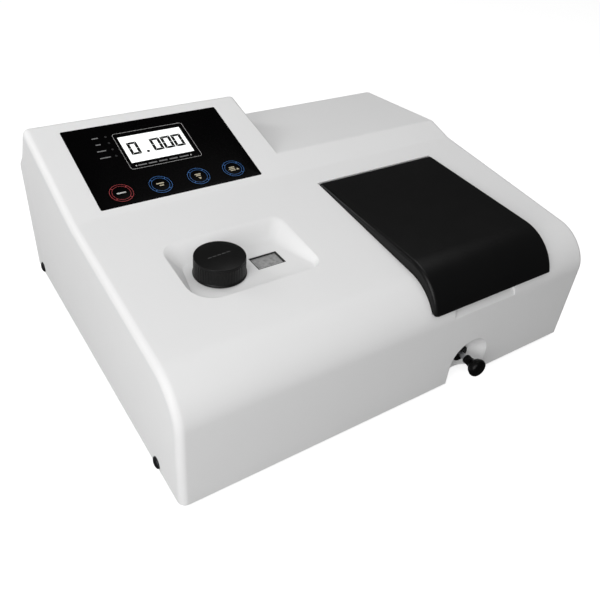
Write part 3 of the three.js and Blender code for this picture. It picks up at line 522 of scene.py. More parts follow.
def cover_openings():
    """The lid's opening, the bores for rod and knob shaft, the dial's window, the rear bay, the vents."""
    window_x = (WINDOW_LOW.x - FIT_GAP, WINDOW_HIGH.x + FIT_GAP)
    window_y = (WINDOW_LOW.y - FIT_GAP, WINDOW_HIGH.y + FIT_GAP)
    rear_low, rear_high = case_box("rear_panel")
    rear_x, rear_z = (rear_low.x + 5, rear_high.x - 5), (rear_low.z + 4, rear_high.z - 6)
    through_back = (DEPTH - 8, DEPTH + 5)
    openings = [
        tool(add_block, (LID_LOW.x - FIT_GAP, LID_HIGH.x + FIT_GAP), (-10, 192.2), (LIP_Z, 200)),
        scoop_tool(),
        tool(add_pin, ROD_HOLE, (8, 25), (ROD_X, 0, ROD_Z), "y"),
        tool(add_plate, flat(rounded_rectangle(window_x, window_y, 0.6)), 110, 140),
        tool(add_pin, SHAFT_HOLE, (110, 140), (KNOB_X, KNOB_Y, 0)),
        tool(add_block, rear_x, through_back, rear_z),
        tool(add_grip),
        tool(add_block, SLIT_X, (-2, 9), (89, 112)),
    ]
    for i in range(VENT_COUNT):
        left = VENT_X + VENT_PITCH * i
        openings.append(tool(add_block, (left, left + VENT_WIDTH), through_back, (70, 105)))
    return openings


def add_grip(bm):
    """The finger recess under the lid's lip: a floor that slopes inwards and down to the face."""
    profile = [(-2.0, 87.6), (0.0, 87.9), (10.6, 101.2), (10.6, 112.0), (-2.0, 112.0)]
    add_rings(bm, [[(x, y, z) for y, z in profile] for x in GRIP_X])


def panel_extent(node):
    """A CAD node's extent in the panel's own frame: X, V up the slope, W out of it."""
    into_panel = PANEL_MATRIX.inverted()
    corners = [into_panel @ v.co for v in frame["nodes"][node].data.vertices]
    low = Vector([min(c[i] for c in corners) for i in range(3)])
    high = Vector([max(c[i] for c in corners) for i in range(3)])
    return low, high


KEY_NODES = ("key_mode", "key_set", "key_down", "key_up")
KEY_BODIES = ("mode_key", "set_key", "down_key", "up_key")
KEY_EXTENTS = [panel_extent(node) for node in KEY_NODES]
KEY_X = [middle(extent).x for extent in KEY_EXTENTS]
KEY_V = middle(KEY_EXTENTS[0]).y
OVERLAY_LOW, OVERLAY_HIGH = panel_extent("panel_overlay")
BED_GAP = 0.3
KEY_WELL = 12.4
DISPLAY_WELL = ((75.6, 155.8), (53.6, 105.4))


def panel_tools():
    """The shallow bed for the keypad overlay, and the holes for the display and the keys."""
    bed_x, bed_v = ((OVERLAY_LOW[i] - BED_GAP, OVERLAY_HIGH[i] + BED_GAP) for i in (0, 1))
    bed = on_panel("tool", add_plate, flat(rounded_rectangle(bed_x, bed_v, 1.6)), -0.8, 5)
    wells = [on_panel("tool", add_pin, KEY_WELL, (-6, 3), (x, KEY_V, 0)) for x in KEY_X]
    return [bed, on_panel("tool", add_block, *DISPLAY_WELL, (-6, 3)), *wells]


def build_cover():
    cover = case_solid("cover_shell", 0.0, 0.0)
    hollow = case_solid("hollow", WALL, -12.0)
    for support in cover_supports():
        cut(hollow, support)
    cut(cover, hollow)
    for cutter in [recess_tool(), *panel_tools(), *cover_openings()]:
        cut(cover, cutter)
    reshade(cover)
    weight_normals(cover)
    return cover


# Lid


_, HINGE_Y, HINGE_Z = middle(case_box("hinge_pin_left"))
PIN_BORE = 1.7
LID_DROP = 60.0
FAR_DROP = LID_DROP - 20
RIM_ANGLE = math.pi / 9


def prism_x(name, outline, xs, edge=0.0):
    """A solid along X from a closed outline of (y, z) points, its two ends rounded by `edge`."""
    placed = with_normals([outline[-1], *outline, outline[0]])[1:-1]
    stations = [(xs[0], 0.0)]
    if edge:
        stations = [(xs[0] + edge * (1 - math.sin(t)), edge * (1 - math.cos(t))) for t in QUARTER[::-1]]
    stations += [(xs[0] + xs[1] - x, inset) for x, inset in reversed(stations)]
    rings = [[(x, *(point - normal * inset)) for point, normal in placed] for x, inset in stations]
    return shape(name, add_rings, rings)


def lid_top_line(inset, nose, barrel_end):
    cy, cz, tip_angle, top_angle = nose
    front = arc(cy, cz, LID_RADIUS - inset, tip_angle, top_angle, 24)
    return front + arc(HINGE_Y, HINGE_Z, HINGE_BARREL - inset, top_angle, barrel_end, 12)


def build_lid():
    """A shell that rolls over the front edge, open below, with a bore for its hinge pins."""
    nose = nose_circle(LID_SLOPE, LID_HEIGHT, LID_RADIUS, LID_TIP)
    blank = lid_top_line(0, nose, 0) + [(HINGE_Y + HINGE_BARREL, LID_DROP), (LID_TIP[0], LID_DROP)]
    lid = prism_x("sample_lid_shell", blank, (LID_LOW.x, LID_HIGH.x), LID_ROUND)
    rim = HINGE_Z + (HINGE_BARREL - LID_WALL) * math.sin(RIM_ANGLE)
    inner_y = nose[0] + (LID_RADIUS - LID_WALL) * math.cos(nose[2])
    behind = HINGE_Y + 20
    hollow = lid_top_line(LID_WALL, nose, RIM_ANGLE)
    hollow += [(behind, rim), (behind, LID_DROP), (inner_y, LID_DROP)]
    cut(lid, prism_x("hollow", hollow, (LID_LOW.x + LID_WALL, LID_HIGH.x - LID_WALL)))
    under = [(-20, FAR_DROP), (-20, LID_TIP[1]), (LID_TIP[0] + 3, LID_TIP[1]), (8, 105)]
    under += arc(HINGE_Y, HINGE_Z, HINGE_BARREL, -math.pi / 2, 0, 12)
    under += [(HINGE_Y + 40, HINGE_Z), (HINGE_Y + 40, FAR_DROP)]
    across = (LID_LOW.x - 5, LID_HIGH.x + 5)
    cut(lid, prism_x("under", under, across))
    cut(lid, tool(add_pin, PIN_BORE, across, (0, HINGE_Y, HINGE_Z), "x", 32))
    reshade(lid)
    soften_edges(lid, 0.7, 3, 50)
    return lid


# Controls: wavelength knob, dial, rod knob

FLUTES = 54
FLUTE_STEPS = FLUTES * 6
SHAFT_BORE = 3.4
PRINT_SINK = 0.02
PRINT_HEIGHT = 0.06


def fluted_ring(radius, depth, height):
    ring = []
    for i in range(FLUTE_STEPS):
        angle = 2 * math.pi * i / FLUTE_STEPS
        groove = max(0.0, math.cos(FLUTES * angle)) ** 1.5
        reach = radius - depth * groove
        ring.append((KNOB_X + reach * math.cos(angle), KNOB_Y + reach * math.sin(angle), height))
    return ring


def build_wavelength_knob():
    """A fluted knob: rings of radius, flute depth and height, from the flange to the softened face."""
    low, high = KNOB_LOW.z, KNOB_HIGH.z
    flange = (KNOB_HIGH.x - KNOB_LOW.x) / 2 - 0.6
    body = flange - 0.8
    stations = [
        (SHAFT_BORE, 0.0, low), (flange - 0.3, 0.0, low), (flange, 0.0, low + 0.3),
        (flange, 0.0, low + 1.2), (flange - 0.3, 0.0, low + 1.5), (body + 0.1, 0.0, low + 1.9),
        (body, 0.05, low + 2.4), (body, 0.4, low + 3.0), (body - 0.15, 0.4, high - 3.4),
        (body - 0.2, 0.1, high - 2.8), (body - 0.5, 0.0, high - 2.6), (body - 0.5, 0.0, high - 2.3),
        (body - 0.2, 0.0, high - 2.1), (body - 0.25, 0.0, high - 0.6), (body - 0.45, 0.0, high - 0.15),
        (body - 0.9, 0.0, high), (1.0, 0.0, high),
    ]
    rings = [fluted_ring(*station) for station in stations]
    knob = shape("wavelength_knob_grip", add_rings, rings)
    cut(knob, tool(add_pin, SHAFT_BORE, (low - 5, high - 3), (KNOB_X, KNOB_Y, 0), "z", 32))
    reshade(knob, 40)
    return knob


LEGEND_TURN = math.radians(4)
LEGEND_PITCH = 4.6
LEGEND_DASH = (3.6, 1.1)


def build_knob_legend():
    """A short row of plain dashes across the knob's face, where its legend was."""
    dashes = []
    for place in range(-2, 3):
        x, y = Matrix.Rotation(LEGEND_TURN, 2) @ Vector((place * LEGEND_PITCH, 1.0))
        dashes.append(dash(KNOB_X + x, KNOB_Y + y, *LEGEND_DASH))
    low = KNOB_HIGH.z - 0.03
    return shape("knob_legend", add_plates, dashes, low, low + PRINT_HEIGHT)


DIAL_LOW, DIAL_HIGH = case_box("dial_disc")
DIAL_X, DIAL_Y, _ = middle((DIAL_LOW, DIAL_HIGH))
DIAL_RADIUS = (DIAL_HIGH.x - DIAL_LOW.x) / 2
DIAL_DIVISIONS = 240


def build_dial():
    top = DIAL_HIGH.z
    profile = [(1, DIAL_LOW.z), (DIAL_RADIUS - 0.2, DIAL_LOW.z), (DIAL_RADIUS, DIAL_LOW.z + 0.2)]
    profile += [(DIAL_RADIUS, top - 0.2), (DIAL_RADIUS - 0.2, top), (1, top)]
    return shape("dial_face", add_turned, profile, (DIAL_X, DIAL_Y, 0), "z", 160)


LIT_BARS = {
    "0": "abcdef", "1": "bc", "2": "abged", "3": "abgcd", "4": "fgbc",
    "5": "afgcd", "6": "afgedc", "7": "abc", "8": "abcdefg", "9": "abcdfg",
}
BAR_GAP = 0.06


def digit_strokes(digit, width, height, thick):
    """Seven-segment bars of one digit as outlines, its lower left corner at the origin."""
    half, gap = thick / 2, thick * BAR_GAP
    left, right, low, middle, high = half, width - half, half, height / 2, height - half
    corner, butt, inner = (gap - half, gap + half), (gap, gap), (gap + half, gap + half)
    bars = {
        "a": ((left, high), (right, high), (0, 1), corner, corner),
        "b": ((right, middle), (right, high), (1, 0), butt, corner),
        "c": ((right, low), (right, middle), (1, 0), corner, butt),
        "d": ((left, low), (right, low), (0, -1), corner, corner),
        "e": ((left, low), (left, middle), (-1, 0), corner, butt),
        "f": ((left, middle), (left, high), (-1, 0), butt, corner),
        "g": ((left, middle), (right, middle), (0, 1), inner, inner),
    }
    outlines = []
    for name in LIT_BARS[digit]:
        start, end, outward, first, last = bars[name]
        start, end, out = Vector(start), Vector(end), Vector(outward) * half
        along = (end - start).normalized()
        near = [start + along * first[1] - out, start + along * first[0] + out]
        far = [end - along * last[0] + out, end - along * last[1] - out]
        outlines.append([tuple(point) for point in near + far])
    return outlines


TICK_HALF = 0.14
TICK_LENGTHS = {0: 5.0, 5: 3.6}
SHORT_TICK = 2.4
TICK_MARGIN = 3.5
NUMBER_EVERY = 20
FIRST_NUMBER = 300
NUMBER_STEP = 50
NUMBER_BAR = (1.9, 3.4, 0.42)
NUMBER_PITCH = 2.7
NUMBER_START = (-3.65, DIAL_RADIUS - 13.5)


def on_dial(place, points):
    """The outline of a print that is drawn at the dial's top, turned to the division `place`."""
    turn = Matrix.Rotation(2 * math.pi * place / DIAL_DIVISIONS, 2)
    turned = [turn @ Vector(p) for p in points]
    return [(DIAL_X + p.x, DIAL_Y + p.y) for p in turned]


def build_dial_marks():
    """Fine divisions round the rim and a number at every twentieth."""
    prints = []
    outer = DIAL_RADIUS - TICK_MARGIN
    left, right = -TICK_HALF, TICK_HALF
    for i in range(DIAL_DIVISIONS):
        inner = outer - TICK_LENGTHS.get(i % 10, SHORT_TICK)
        prints.append(on_dial(i, [(left, inner), (right, inner), (right, outer), (left, outer)]))
    for i in range(0, DIAL_DIVISIONS, NUMBER_EVERY):
        number = str(FIRST_NUMBER + NUMBER_STEP * i // NUMBER_EVERY)
        for place, digit in enumerate(number):
            start, low = NUMBER_START[0] + NUMBER_PITCH * place, NUMBER_START[1]
            for bar in digit_strokes(digit, *NUMBER_BAR):
                prints.append(on_dial(i, [(x + start, y + low) for x, y in bar]))
    return shape("dial_marks", add_plates, prints, DIAL_HIGH.z - 0.05, DIAL_HIGH.z + 0.04)


def build_window():
    """The clear window with a softened edge, a hair below the recess floor."""
    xs, ys = (WINDOW_LOW.x, WINDOW_HIGH.x), (WINDOW_LOW.y, WINDOW_HIGH.y)
    outline = rounded_rectangle(xs, ys, 0.5)
    return shape("dial_window_pane", add_cushioned_plate, outline, WINDOW_LOW.z, WINDOW_HIGH.z, 0.2)


def add_frame(bm, inner, outer, low, high):
    """A flat frame between two outlines of (x, y) points."""
    rings = [(inner, low), (outer, low), (outer, high), (inner, high), (inner, low)]
    rows = [[(x, y, z) for x, y in outline] for outline, z in rings]
    add_rings(bm, rows, cap_start=False, cap_end=False)


def build_window_lining():
    """A dark frame round the window, which hides the edge of the opening."""
    (x0, y0, _), (x1, y1, _) = WINDOW_LOW, WINDOW_HIGH
    outer = rounded_rectangle((x0 - 0.3, x1 + 0.3), (y0 - 0.3, y1 + 0.3), 0.6, 4)
    inner = rounded_rectangle((x0 + 0.5, x1 - 1.2), (y0 + 0.4, y1 - 0.7), 0.3, 4)
    heights = (WINDOW_HIGH.z + 0.1, RECESS_FLOOR - 0.25)
    return shape("window_lining", add_frame, flat(inner), flat(outer), *heights)


def build_rod_knob():
    """A mushroom knob with a waisted neck, from (radius, station, fillet) corners."""
    corners = [
        (0.01, 0.0, 0), (5.0, 0.2, 4), (8.4, 1.9, 3), (9.6, 4.3, 2.5), (9.6, 6.5, 2),
        (8.0, 9.9, 3), (5.0, 13.1, 4), (4.5, 17.1, 5), (4.8, 19.7, 1.2), (4.6, 21.1, 0.5),
        (3.2, 21.1, 0.2), (3.2, 6.6, 0.2), (0.01, 6.6, 0),
    ]
    face = (ROD_X, case_box("rod_knob")[0].y, ROD_Z)
    return shape("rod_knob_grip", add_turned, filleted(corners, 6), face, "y", 72)


def build_rod_bush():
    """The collar that the rod runs in, from (radius, station) pairs round its section."""
    section = [
        (3.15, 10.7), (7.2, 10.6), (8.5, 10.8), (9.0, 11.3), (9.0, 12.8),
        (6.0, 12.8), (6.0, 24.6), (5.6, 25.0), (3.15, 25.0), (3.15, 10.7),
    ]
    return shape("rod_collar", add_turned, section, (ROD_X, 0, ROD_Z), "y", 64, False)


# Screws and feet

CORNERS = ("front_left", "rear_left", "front_right", "rear_right")
SCREW_PROUD = 2.75
CROSS_ARM = 2.9
CROSS_HALF = 0.55


def add_cross(bm, depth, y, z):
    for arm_y, arm_z in ((CROSS_ARM, CROSS_HALF), (CROSS_HALF, CROSS_ARM)):
        add_block(bm, depth, (y - arm_y, y + arm_y), (z - arm_z, z + arm_z))


def build_screw(node):
    """A pan-head screw with a cross recess, its head outwards."""
    low, high = case_box(node)
    _, y, z = middle((low, high))
    side = -1 if low.x < 0 else 1
    face = 0.0 if side < 0 else WIDTH
    head = (high.y - low.y) / 2
    shank = [(0.01, -9.5), (2.2, -9.5), (2.6, -8.9), (2.6, 0.1), (head, 0.1), (head, 0.7)]
    dome = [(head * 0.97, 1.2), (head * 0.85, 1.8), (head * 0.62, 2.4), (head * 0.35, 2.7)]
    profile = [*shank, *dome, (0.01, SCREW_PROUD)]
    axis = "x" if side > 0 else "-x"
    screw = shape(node + "_head", add_turned, profile, (face, y, z), axis, 48)
    depth = sorted((face + side * 1.2, face + side * 4))
    cut(screw, tool(add_cross, depth, y, z))
    reshade(screw, 40)
    return screw


def build_foot(node):
    """A turned rubber foot with a groove round it and a recessed sole."""
    low, high = case_box(node)
    sole, rim = low.z, (high.x - low.x) / 2
    corners = [
        (0.01, sole + 3, 0), (3.5, sole + 3, 0.4), (4.2, sole + 0.6, 0.4), (6.5, sole, 0.6),
        (rim - 2.4, sole, 0.9), (rim - 1.4, sole + 1.0, 0.8), (rim - 0.7, sole + 4, 0.4),
        (rim - 1.3, sole + 4.5, 0.2), (rim - 0.5, sole + 5.0, 0.3), (rim, sole + 7.8, 0.3),
        (rim - 0.7, high.z, 0.3), (0.01, high.z, 0),
    ]
    x, y, _ = middle((low, high))
    return shape(node + "_turned", add_turned, filleted(corners, 4), (x, y, 0))


# Keypad panel: drawn in the panel's own frame, X right, Y up the slope, Z out of it

SCREEN_X = (82.0, 149.4)
SCREEN_V = (60.0, 99.0)
SCREEN_GAP = 0.15
KEY_HOLE = 12.15
LAMP_HOLE = 1.3
SCREEN_STEP = -1.6
FRAME_LINE_X = (78.3, 154.3)
FRAME_LINE_V = (51.2, 104.6)
FRAME_LINE = 0.34
LAMP_EXTENTS = [panel_extent(f"indicator_{i}") for i in range(1, 5)]
LAMP_X = middle(LAMP_EXTENTS[0]).x
LAMP_V = [middle(extent).y for extent in LAMP_EXTENTS]
PRINT_LOW = OVERLAY_HIGH.z - PRINT_SINK
PRINT_HIGH = OVERLAY_HIGH.z + PRINT_HEIGHT


def add_overlay_holes(bm):
    for x in KEY_X:
        add_pin(bm, KEY_HOLE, (-3, 3), (x, KEY_V, 0), steps=96)
    add_plate(bm, flat(rounded_rectangle(SCREEN_X, SCREEN_V, 0.4)), -3, 3)
    for v in LAMP_V:
        add_pin(bm, LAMP_HOLE, (-3, 3), (LAMP_X, v, 0), steps=32)


def build_overlay():
    """The film, with holes for the keys, the display and the lamps."""
    outline = rounded_rectangle((OVERLAY_LOW.x, OVERLAY_HIGH.x), (OVERLAY_LOW.y, OVERLAY_HIGH.y), 1.2)
    heights = (OVERLAY_LOW.z, OVERLAY_HIGH.z)
    overlay = on_panel("keypad_overlay", add_cushioned_plate, outline, *heights, 0.15)
    cut(overlay, on_panel("tool", add_overlay_holes))
    reshade(overlay)
    return overlay


def add_line_loop(bm, outline, thick, low, high):
    """A flat band that follows a closed outline of (x, y, nx, ny) points."""
    inner = [(x - thick * nx, y - thick * ny) for x, y, nx, ny in outline]
    add_frame(bm, inner, flat(outline), low, high)


def dash(x, y, length, thick):
    """A dash's outline, centred on (x, y)."""
    xs, ys = (x - length / 2, x + length / 2), (y - thick / 2, y + thick / 2)
    return flat(rounded_rectangle(xs, ys, thick * 0.3, 2))


def build_frame_line():
    line = rounded_rectangle(FRAME_LINE_X, FRAME_LINE_V, 3.0)
    return on_panel("display_frame_line", add_line_loop, line, FRAME_LINE, PRINT_LOW, PRINT_HIGH)


CAPTION_V = 55.4
CAPTION_DASHES = ((91.2, 9), (102.0, 9), (113.0, 9), (124.0, 9), (135.6, 10))
CAPTION_DOTS = (84.8, 143.2)
DOT_RADIUS = 0.85
LABEL_LENGTHS = (6.5, 5.0, 9.0, 10.5)
LABEL_OFFSET = 11.0
CAPTION_THICK, LABEL_THICK = 1.5, 1.4


def build_labels():
    """The caption row and the lamps' labels as plain dashes."""
    dashes = [dash(x, CAPTION_V, length, CAPTION_THICK) for x, length in CAPTION_DASHES]
    for v, length in zip(LAMP_V, LABEL_LENGTHS):
        dashes.append(dash(LAMP_X - LABEL_OFFSET, v, length, LABEL_THICK))
    return on_panel("panel_labels", add_plates, dashes, PRINT_LOW, PRINT_LOW + PRINT_HEIGHT)


def add_caption_dots(bm):
    for x in CAPTION_DOTS:
        add_pin(bm, DOT_RADIUS, (PRINT_LOW, PRINT_HIGH), (x, CAPTION_V, 0), steps=20)


def build_key(index):
    """A flat round key with a softened rim, sunk a hair into the overlay."""
    low, high = KEY_EXTENTS[index]
    outline = round_outline(KEY_X[index], KEY_V, (high.x - low.x) / 2, 96)
    return on_panel(KEY_NODES[index] + "_cap", add_cushioned_plate, outline, low.z, high.z, 0.25)


RING_SIZES = ((11.3, 0.42), (8.9, 0.36))
RING_TICK = ((8.7, -0.35), (11.2, -0.35), (11.2, 0.35), (8.7, 0.35))


def add_key_rings(bm, index):
    """Two rings joined by four short ticks."""
    top = KEY_EXTENTS[index][1].z
    low, high = top - PRINT_SINK, top + PRINT_HEIGHT
    for radius, thick in RING_SIZES:
        add_line_loop(bm, round_outline(KEY_X[index], KEY_V, radius, 72), thick, low, high)
    for quarter in range(4):
        turn = Matrix.Rotation(math.pi / 4 + quarter * math.pi / 2, 2)
        points = [turn @ Vector(p) for p in RING_TICK]
        add_plate(bm, [(KEY_X[index] + p.x, KEY_V + p.y) for p in points], low, high)


# For each key its dashes: x, y, length, thickness. For the stepping keys an arrow: x, y, way up.
KEY_DASHES = (
    ((0, 0, 9.0, 1.7),),
    ((0, 1.5, 8.0, 1.4), (0.6, -1.4, 4.5, 1.4)),
    ((0, 2.6, 6.5, 1.3), (0, 0.6, 5.0, 1.3)),
    ((-1.0, 2.0, 6.0, 1.3), (-1.4, -0.2, 6.5, 1.3), (-1.2, -2.4, 5.5, 1.3)),
)
KEY_ARROWS = {2: (0.4, -3.0, -1), 3: (4.2, -1.6, 1)}


def build_key_marks(index):
    """Plain dashes where the legend was, and an arrow on the two stepping keys."""
    key_x = KEY_X[index]
    prints = [dash(key_x + x, KEY_V + y, *size) for x, y, *size in KEY_DASHES[index]]
    if index in KEY_ARROWS:
        x, y, way = KEY_ARROWS[index]
        corners = [(-1.7, -1.2 * way), (1.7, -1.2 * way), (0, 1.7 * way)]
        prints.append([(key_x + x + cx, KEY_V + y + cy) for cx, cy in corners])
    low = KEY_EXTENTS[index][1].z - PRINT_SINK
    return on_panel(KEY_NODES[index] + "_marks", add_plates, prints, low, low + PRINT_HEIGHT)


def add_screen(bm):
    """The display: its block behind the film, and its face stepped up into the window."""
    low, high = panel_extent("display_screen")
    face_x, face_v = ((a + SCREEN_GAP, b - SCREEN_GAP) for a, b in (SCREEN_X, SCREEN_V))
    add_block(bm, (low.x, high.x), (low.y, high.y), (low.z, SCREEN_STEP))
    add_cushioned_plate(bm, rounded_rectangle(face_x, face_v, 0.3), SCREEN_STEP - 0.1, high.z, 0.1)


DIGIT_SIZE = (10.7, 18.3)
DIGIT_X = (87.0, 111.1, 122.9, 134.6)
DIGIT_V = 70.8
DIGIT_THICK = 3.0
POINT_X = 103.0


def build_digits():
    """Four noughts and a point."""
    top = panel_extent("display_screen")[1].z
    far_x, far_v = POINT_X + DIGIT_THICK, DIGIT_V + DIGIT_THICK
    patches = []
    for x in DIGIT_X:
        for bar in digit_strokes("0", *DIGIT_SIZE, DIGIT_THICK):
            patches.append([(x + bx, DIGIT_V + by) for bx, by in bar])
    patches.append([(POINT_X, DIGIT_V), (far_x, DIGIT_V), (far_x, far_v), (POINT_X, far_v)])
    return on_panel("display_digits", add_plates, patches, top - PRINT_SINK, top + 0.03)


def build_lamp(index):
    """A small lens with a domed face."""
    low, high = LAMP_EXTENTS[index]
    top = high.z
    profile = [(1.2, low.z), (1.2, top - 0.25), (1.0, top - 0.06), (0.6, top), (0.01, top)]
    at = (LAMP_X, LAMP_V[index], 0)
    return on_panel(f"indicator_{index + 1}_lens", add_turned, profile, at, "z", 32)


# Materials. Noise scales are per metre, in the object's own coordinates. A field is a noise given
# as (scale, detail[, stretch]) or a node's output; a span is a field with its lowest and highest value.


class Nodes:
    """A material's or a world's node tree with short calls for the nodes that the looks share."""

    def __init__(self, owner, shader="Principled BSDF"):
        owner.use_nodes = True
        self.owner = owner
        self.tree = owner.node_tree
        self.shader = self.tree.nodes[shader]
        self.coordinates = self.tree.nodes.new("ShaderNodeTexCoord").outputs["Object"]
        self.normal = None

    def add(self, kind, values=None, links=None):
        node = self.tree.nodes.new(kind)
        for key, value in (values or {}).items():
            if key in node.inputs:
                node.inputs[key].default_value = value
            else:
                setattr(node, key, value)
        for key, socket in (links or {}).items():
            self.tree.links.new(socket, node.inputs[key])
        return node

    def set(self, **values):
        for key, value in values.items():
            self.shader.inputs[key.replace("_", " ")].default_value = value

    def link(self, socket, key):
        self.tree.links.new(socket, self.shader.inputs[key])

    def field(self, field):
        if not isinstance(field, tuple):
            return field
        scale, detail, stretch = (*field, (1, 1, 1))[:3]
        mapping = self.add("ShaderNodeMapping", {"Scale": stretch}, {"Vector": self.coordinates})
        values = {"Scale": scale, "Detail": detail}
        return self.add("ShaderNodeTexNoise", values, {"Vector": mapping.outputs["Vector"]}).outputs["Fac"]

    def span(self, field, low, high):
        values = {"To Min": low, "To Max": high}
        return self.add("ShaderNodeMapRange", values, {"Value": self.field(field)}).outputs["Result"]

    def blend(self, field, first, second):
        """A mix of two colours, given as numbers or as a node's output."""
        links = {"Factor": self.field(field)}
        if isinstance(first, tuple):
            values = {"A": (*first, 1), "B": (*second, 1)}
        else:
            values = {"B": (*second, 1)}
            links["A"] = first
        mix = self.add("ShaderNodeMix", {"data_type": "RGBA", **values}, links)
        return mix.outputs["Result"]

    def bump(self, field, distance, strength=1.0):
        """A bump over the ones made before."""
        links = {"Height": self.field(field)}
        if self.normal:
            links["Normal"] = self.normal
        values = {"Distance": distance, "Strength": strength}
        self.normal = self.add("ShaderNodeBump", values, links).outputs["Normal"]
        self.link(self.normal, "Normal")

    def pattern(self, kind, scale, output, **values):
        return self.add(kind, {"Scale": scale, **values}, {"Vector": self.coordinates}).outputs[output]

    def bricks(self, scale, mortar_size, **colours):
        values = {key: (*colour, 1) for key, colour in colours.items()}
        return self.pattern("ShaderNodeTexBrick", scale, "Color", **{"Mortar Size": mortar_size}, **values)

    def finish(self, colours, cloud, gloss, *bumps, alpha=None, **values):
        """Colour between two shades, gloss over a span, then bumps and the shader's plain values."""
        self.link(self.blend(cloud, *colours), "Base Color")
        self.link(self.span(*gloss), "Roughness")
        for bump in bumps:
            self.bump(*bump)
        if alpha:
            self.link(self.span(*alpha), "Alpha")
        self.set(**values)
        return self.owner


def material(name):
    return Nodes(bpy.data.materials.new(name))


def shades(colour, *factors):
    return [tuple(min(1.0, channel * factor) for channel in colour) for factor in factors]


def plastic(name, colour, roughness, specular, grain, depth, mottle):
    """Moulded plastic: a fine spark grain, faint mottling and slightly uneven gloss."""
    colours = shades(colour, 1 - mottle, 1 + mottle)
    gloss = ((60, 4), roughness - 0.05, roughness + 0.05)
    return material(name).finish(colours, (14, 3), gloss, ((grain, 2), depth), Specular_IOR_Level=specular)


def brushed(name, colour, roughness, stretch=(1, 1, 20), metallic=1.0):
    """Turned or brushed metal: fine scratches along one way, with smudges in the gloss."""
    scratch = (1500, 2, stretch)
    gloss = ((30, 3), roughness - 0.08, roughness + 0.12)
    colours = shades(colour, 0.82, 1.1)
    return material(name).finish(colours, scratch, gloss, (scratch, 0.00001), Metallic=metallic)


def powder_coat(name, colour):
    """Powder-coated sheet: an orange-peel surface under faint dust."""
    colours = shades(colour, 0.92, 1.06)
    fine, peel = ((2600, 2), 0.00001), ((420, 1), 0.00006)
    return material(name).finish(colours, (9, 4), ((420, 1), 0.47, 0.63), fine, peel, Metallic=0.1)


def casting(name, colour):
    """A sand-blasted casting: pitted, with worn lighter patches."""
    nodes = material(name)
    pits = nodes.pattern("ShaderNodeTexVoronoi", 700.0, "Distance")
    grit, pitted = ((300, 4), 0.00005), (pits, 0.00008, 0.7)
    colours = shades(colour, 0.75, 1.5)
    return nodes.finish(colours, (26, 5), ((300, 4), 0.5, 0.75), grit, pitted, Metallic=0.3)


def rubber(name):
    colours = ((0.012, 0.012, 0.012), (0.028, 0.027, 0.026))
    return material(name).finish(colours, (40, 4), ((1800, 3), 0.7, 0.9), ((1800, 3), 0.00004))


def overlay_film(name):
    """Polyester film over black print: nearly black, with a faint film ripple."""
    colours = ((0.0008, 0.0008, 0.0009), (0.0014, 0.0012, 0.0013))
    ripple = ((55, 2), 0.00004, 0.5)
    return material(name).finish(colours, (55, 2), ((240, 3), 0.22, 0.32), ripple, Specular_IOR_Level=0.025)


def ink(name, colour):
    """Screen-printed ink: faintly uneven cover."""
    gloss = ((900, 3), 0.4, 0.6)
    return material(name).finish(shades(colour, 0.75, 1.15), (900, 3), gloss, Specular_IOR_Level=0.1)


def lit_screen(name):
    """The backlit face: white, over a fine cell grid."""
    nodes = material(name)
    white, pale, seam = (0.97, 0.98, 0.97), (0.95, 0.96, 0.95), (0.88, 0.9, 0.88)
    cells = nodes.bricks(2200.0, 0.06, Color1=white, Color2=pale, Mortar=seam)
    nodes.link(cells, "Base Color")
    nodes.link(cells, "Emission Color")
    nodes.link(nodes.span((20, 2), 0.25, 0.35), "Roughness")
    nodes.set(Emission_Strength=0.45, Specular_IOR_Level=0.2)
    return nodes.owner


def glass(name, tint):
    """Clear glass or acrylic, thin enough to be see-through to light, with faint smears."""
    smear = (60, 4)
    colours = shades(tint, 0.9, 1.0)
    return material(name).finish(colours, smear, (smear, 0.03, 0.1), alpha=(smear, 0.06, 0.14), IOR=1.46)


def window_glass(name):
    """The dial's window: clear acrylic clouded by smears, with lighter patches painted in as painted glints
    where fine scratches would catch the light.
    """
    # Painted glints: the lighter shade stands in for light caught by fine scratches; the grey cloud between
    # the shades is smeared acrylic.
    colours = ((0.22, 0.22, 0.22), (0.62, 0.62, 0.62))
    cloud, cover = (260, 5), ((330, 4), 0.5, 0.95)
    return material(name).finish(colours, cloud, (cloud, 0.2, 0.4), alpha=cover, IOR=1.46)


def mirror(name):
    haze = (45, 3)
    return material(name).finish(
        ((0.82, 0.84, 0.86), (0.9, 0.91, 0.92)), haze, (haze, 0.02, 0.07), Metallic=1.0
    )


def circuit_board(name):
    """Green solder mask with darker tracks and small bright pads."""
    nodes = material(name)
    mask, dark, track = (0.015, 0.12, 0.045), (0.02, 0.15, 0.055), (0.03, 0.22, 0.08)
    tracks = nodes.bricks(260.0, 0.05, Color1=mask, Color2=dark, Mortar=track)
    spots = nodes.pattern("ShaderNodeTexVoronoi", 320.0, "Distance")
    ramp = nodes.add("ShaderNodeValToRGB", {}, {"Fac": spots})
    inside, outside = ramp.color_ramp.elements
    inside.position, inside.color = 0.1, (1, 1, 1, 1)
    outside.position, outside.color = 0.13, (0, 0, 0, 1)
    pads = ramp.outputs["Color"]
    nodes.link(nodes.blend(pads, tracks, (0.6, 0.6, 0.58)), "Base Color")
    nodes.link(nodes.span(pads, 0.45, 0.2), "Roughness")
    nodes.bump(pads, 0.0001)
    return nodes.owner


def laminated(name):
    """The transformer: stacked iron sheets with varnish in the seams."""
    nodes = material(name)
    sheets = nodes.pattern("ShaderNodeTexWave", 900.0, "Fac", Distortion=0.4, bands_direction="Z")
    colours = ((0.08, 0.045, 0.02), (0.3, 0.2, 0.11))
    return nodes.finish(colours, sheets, ((120, 4), 0.3, 0.6), (sheets, 0.0001), Metallic=0.4)


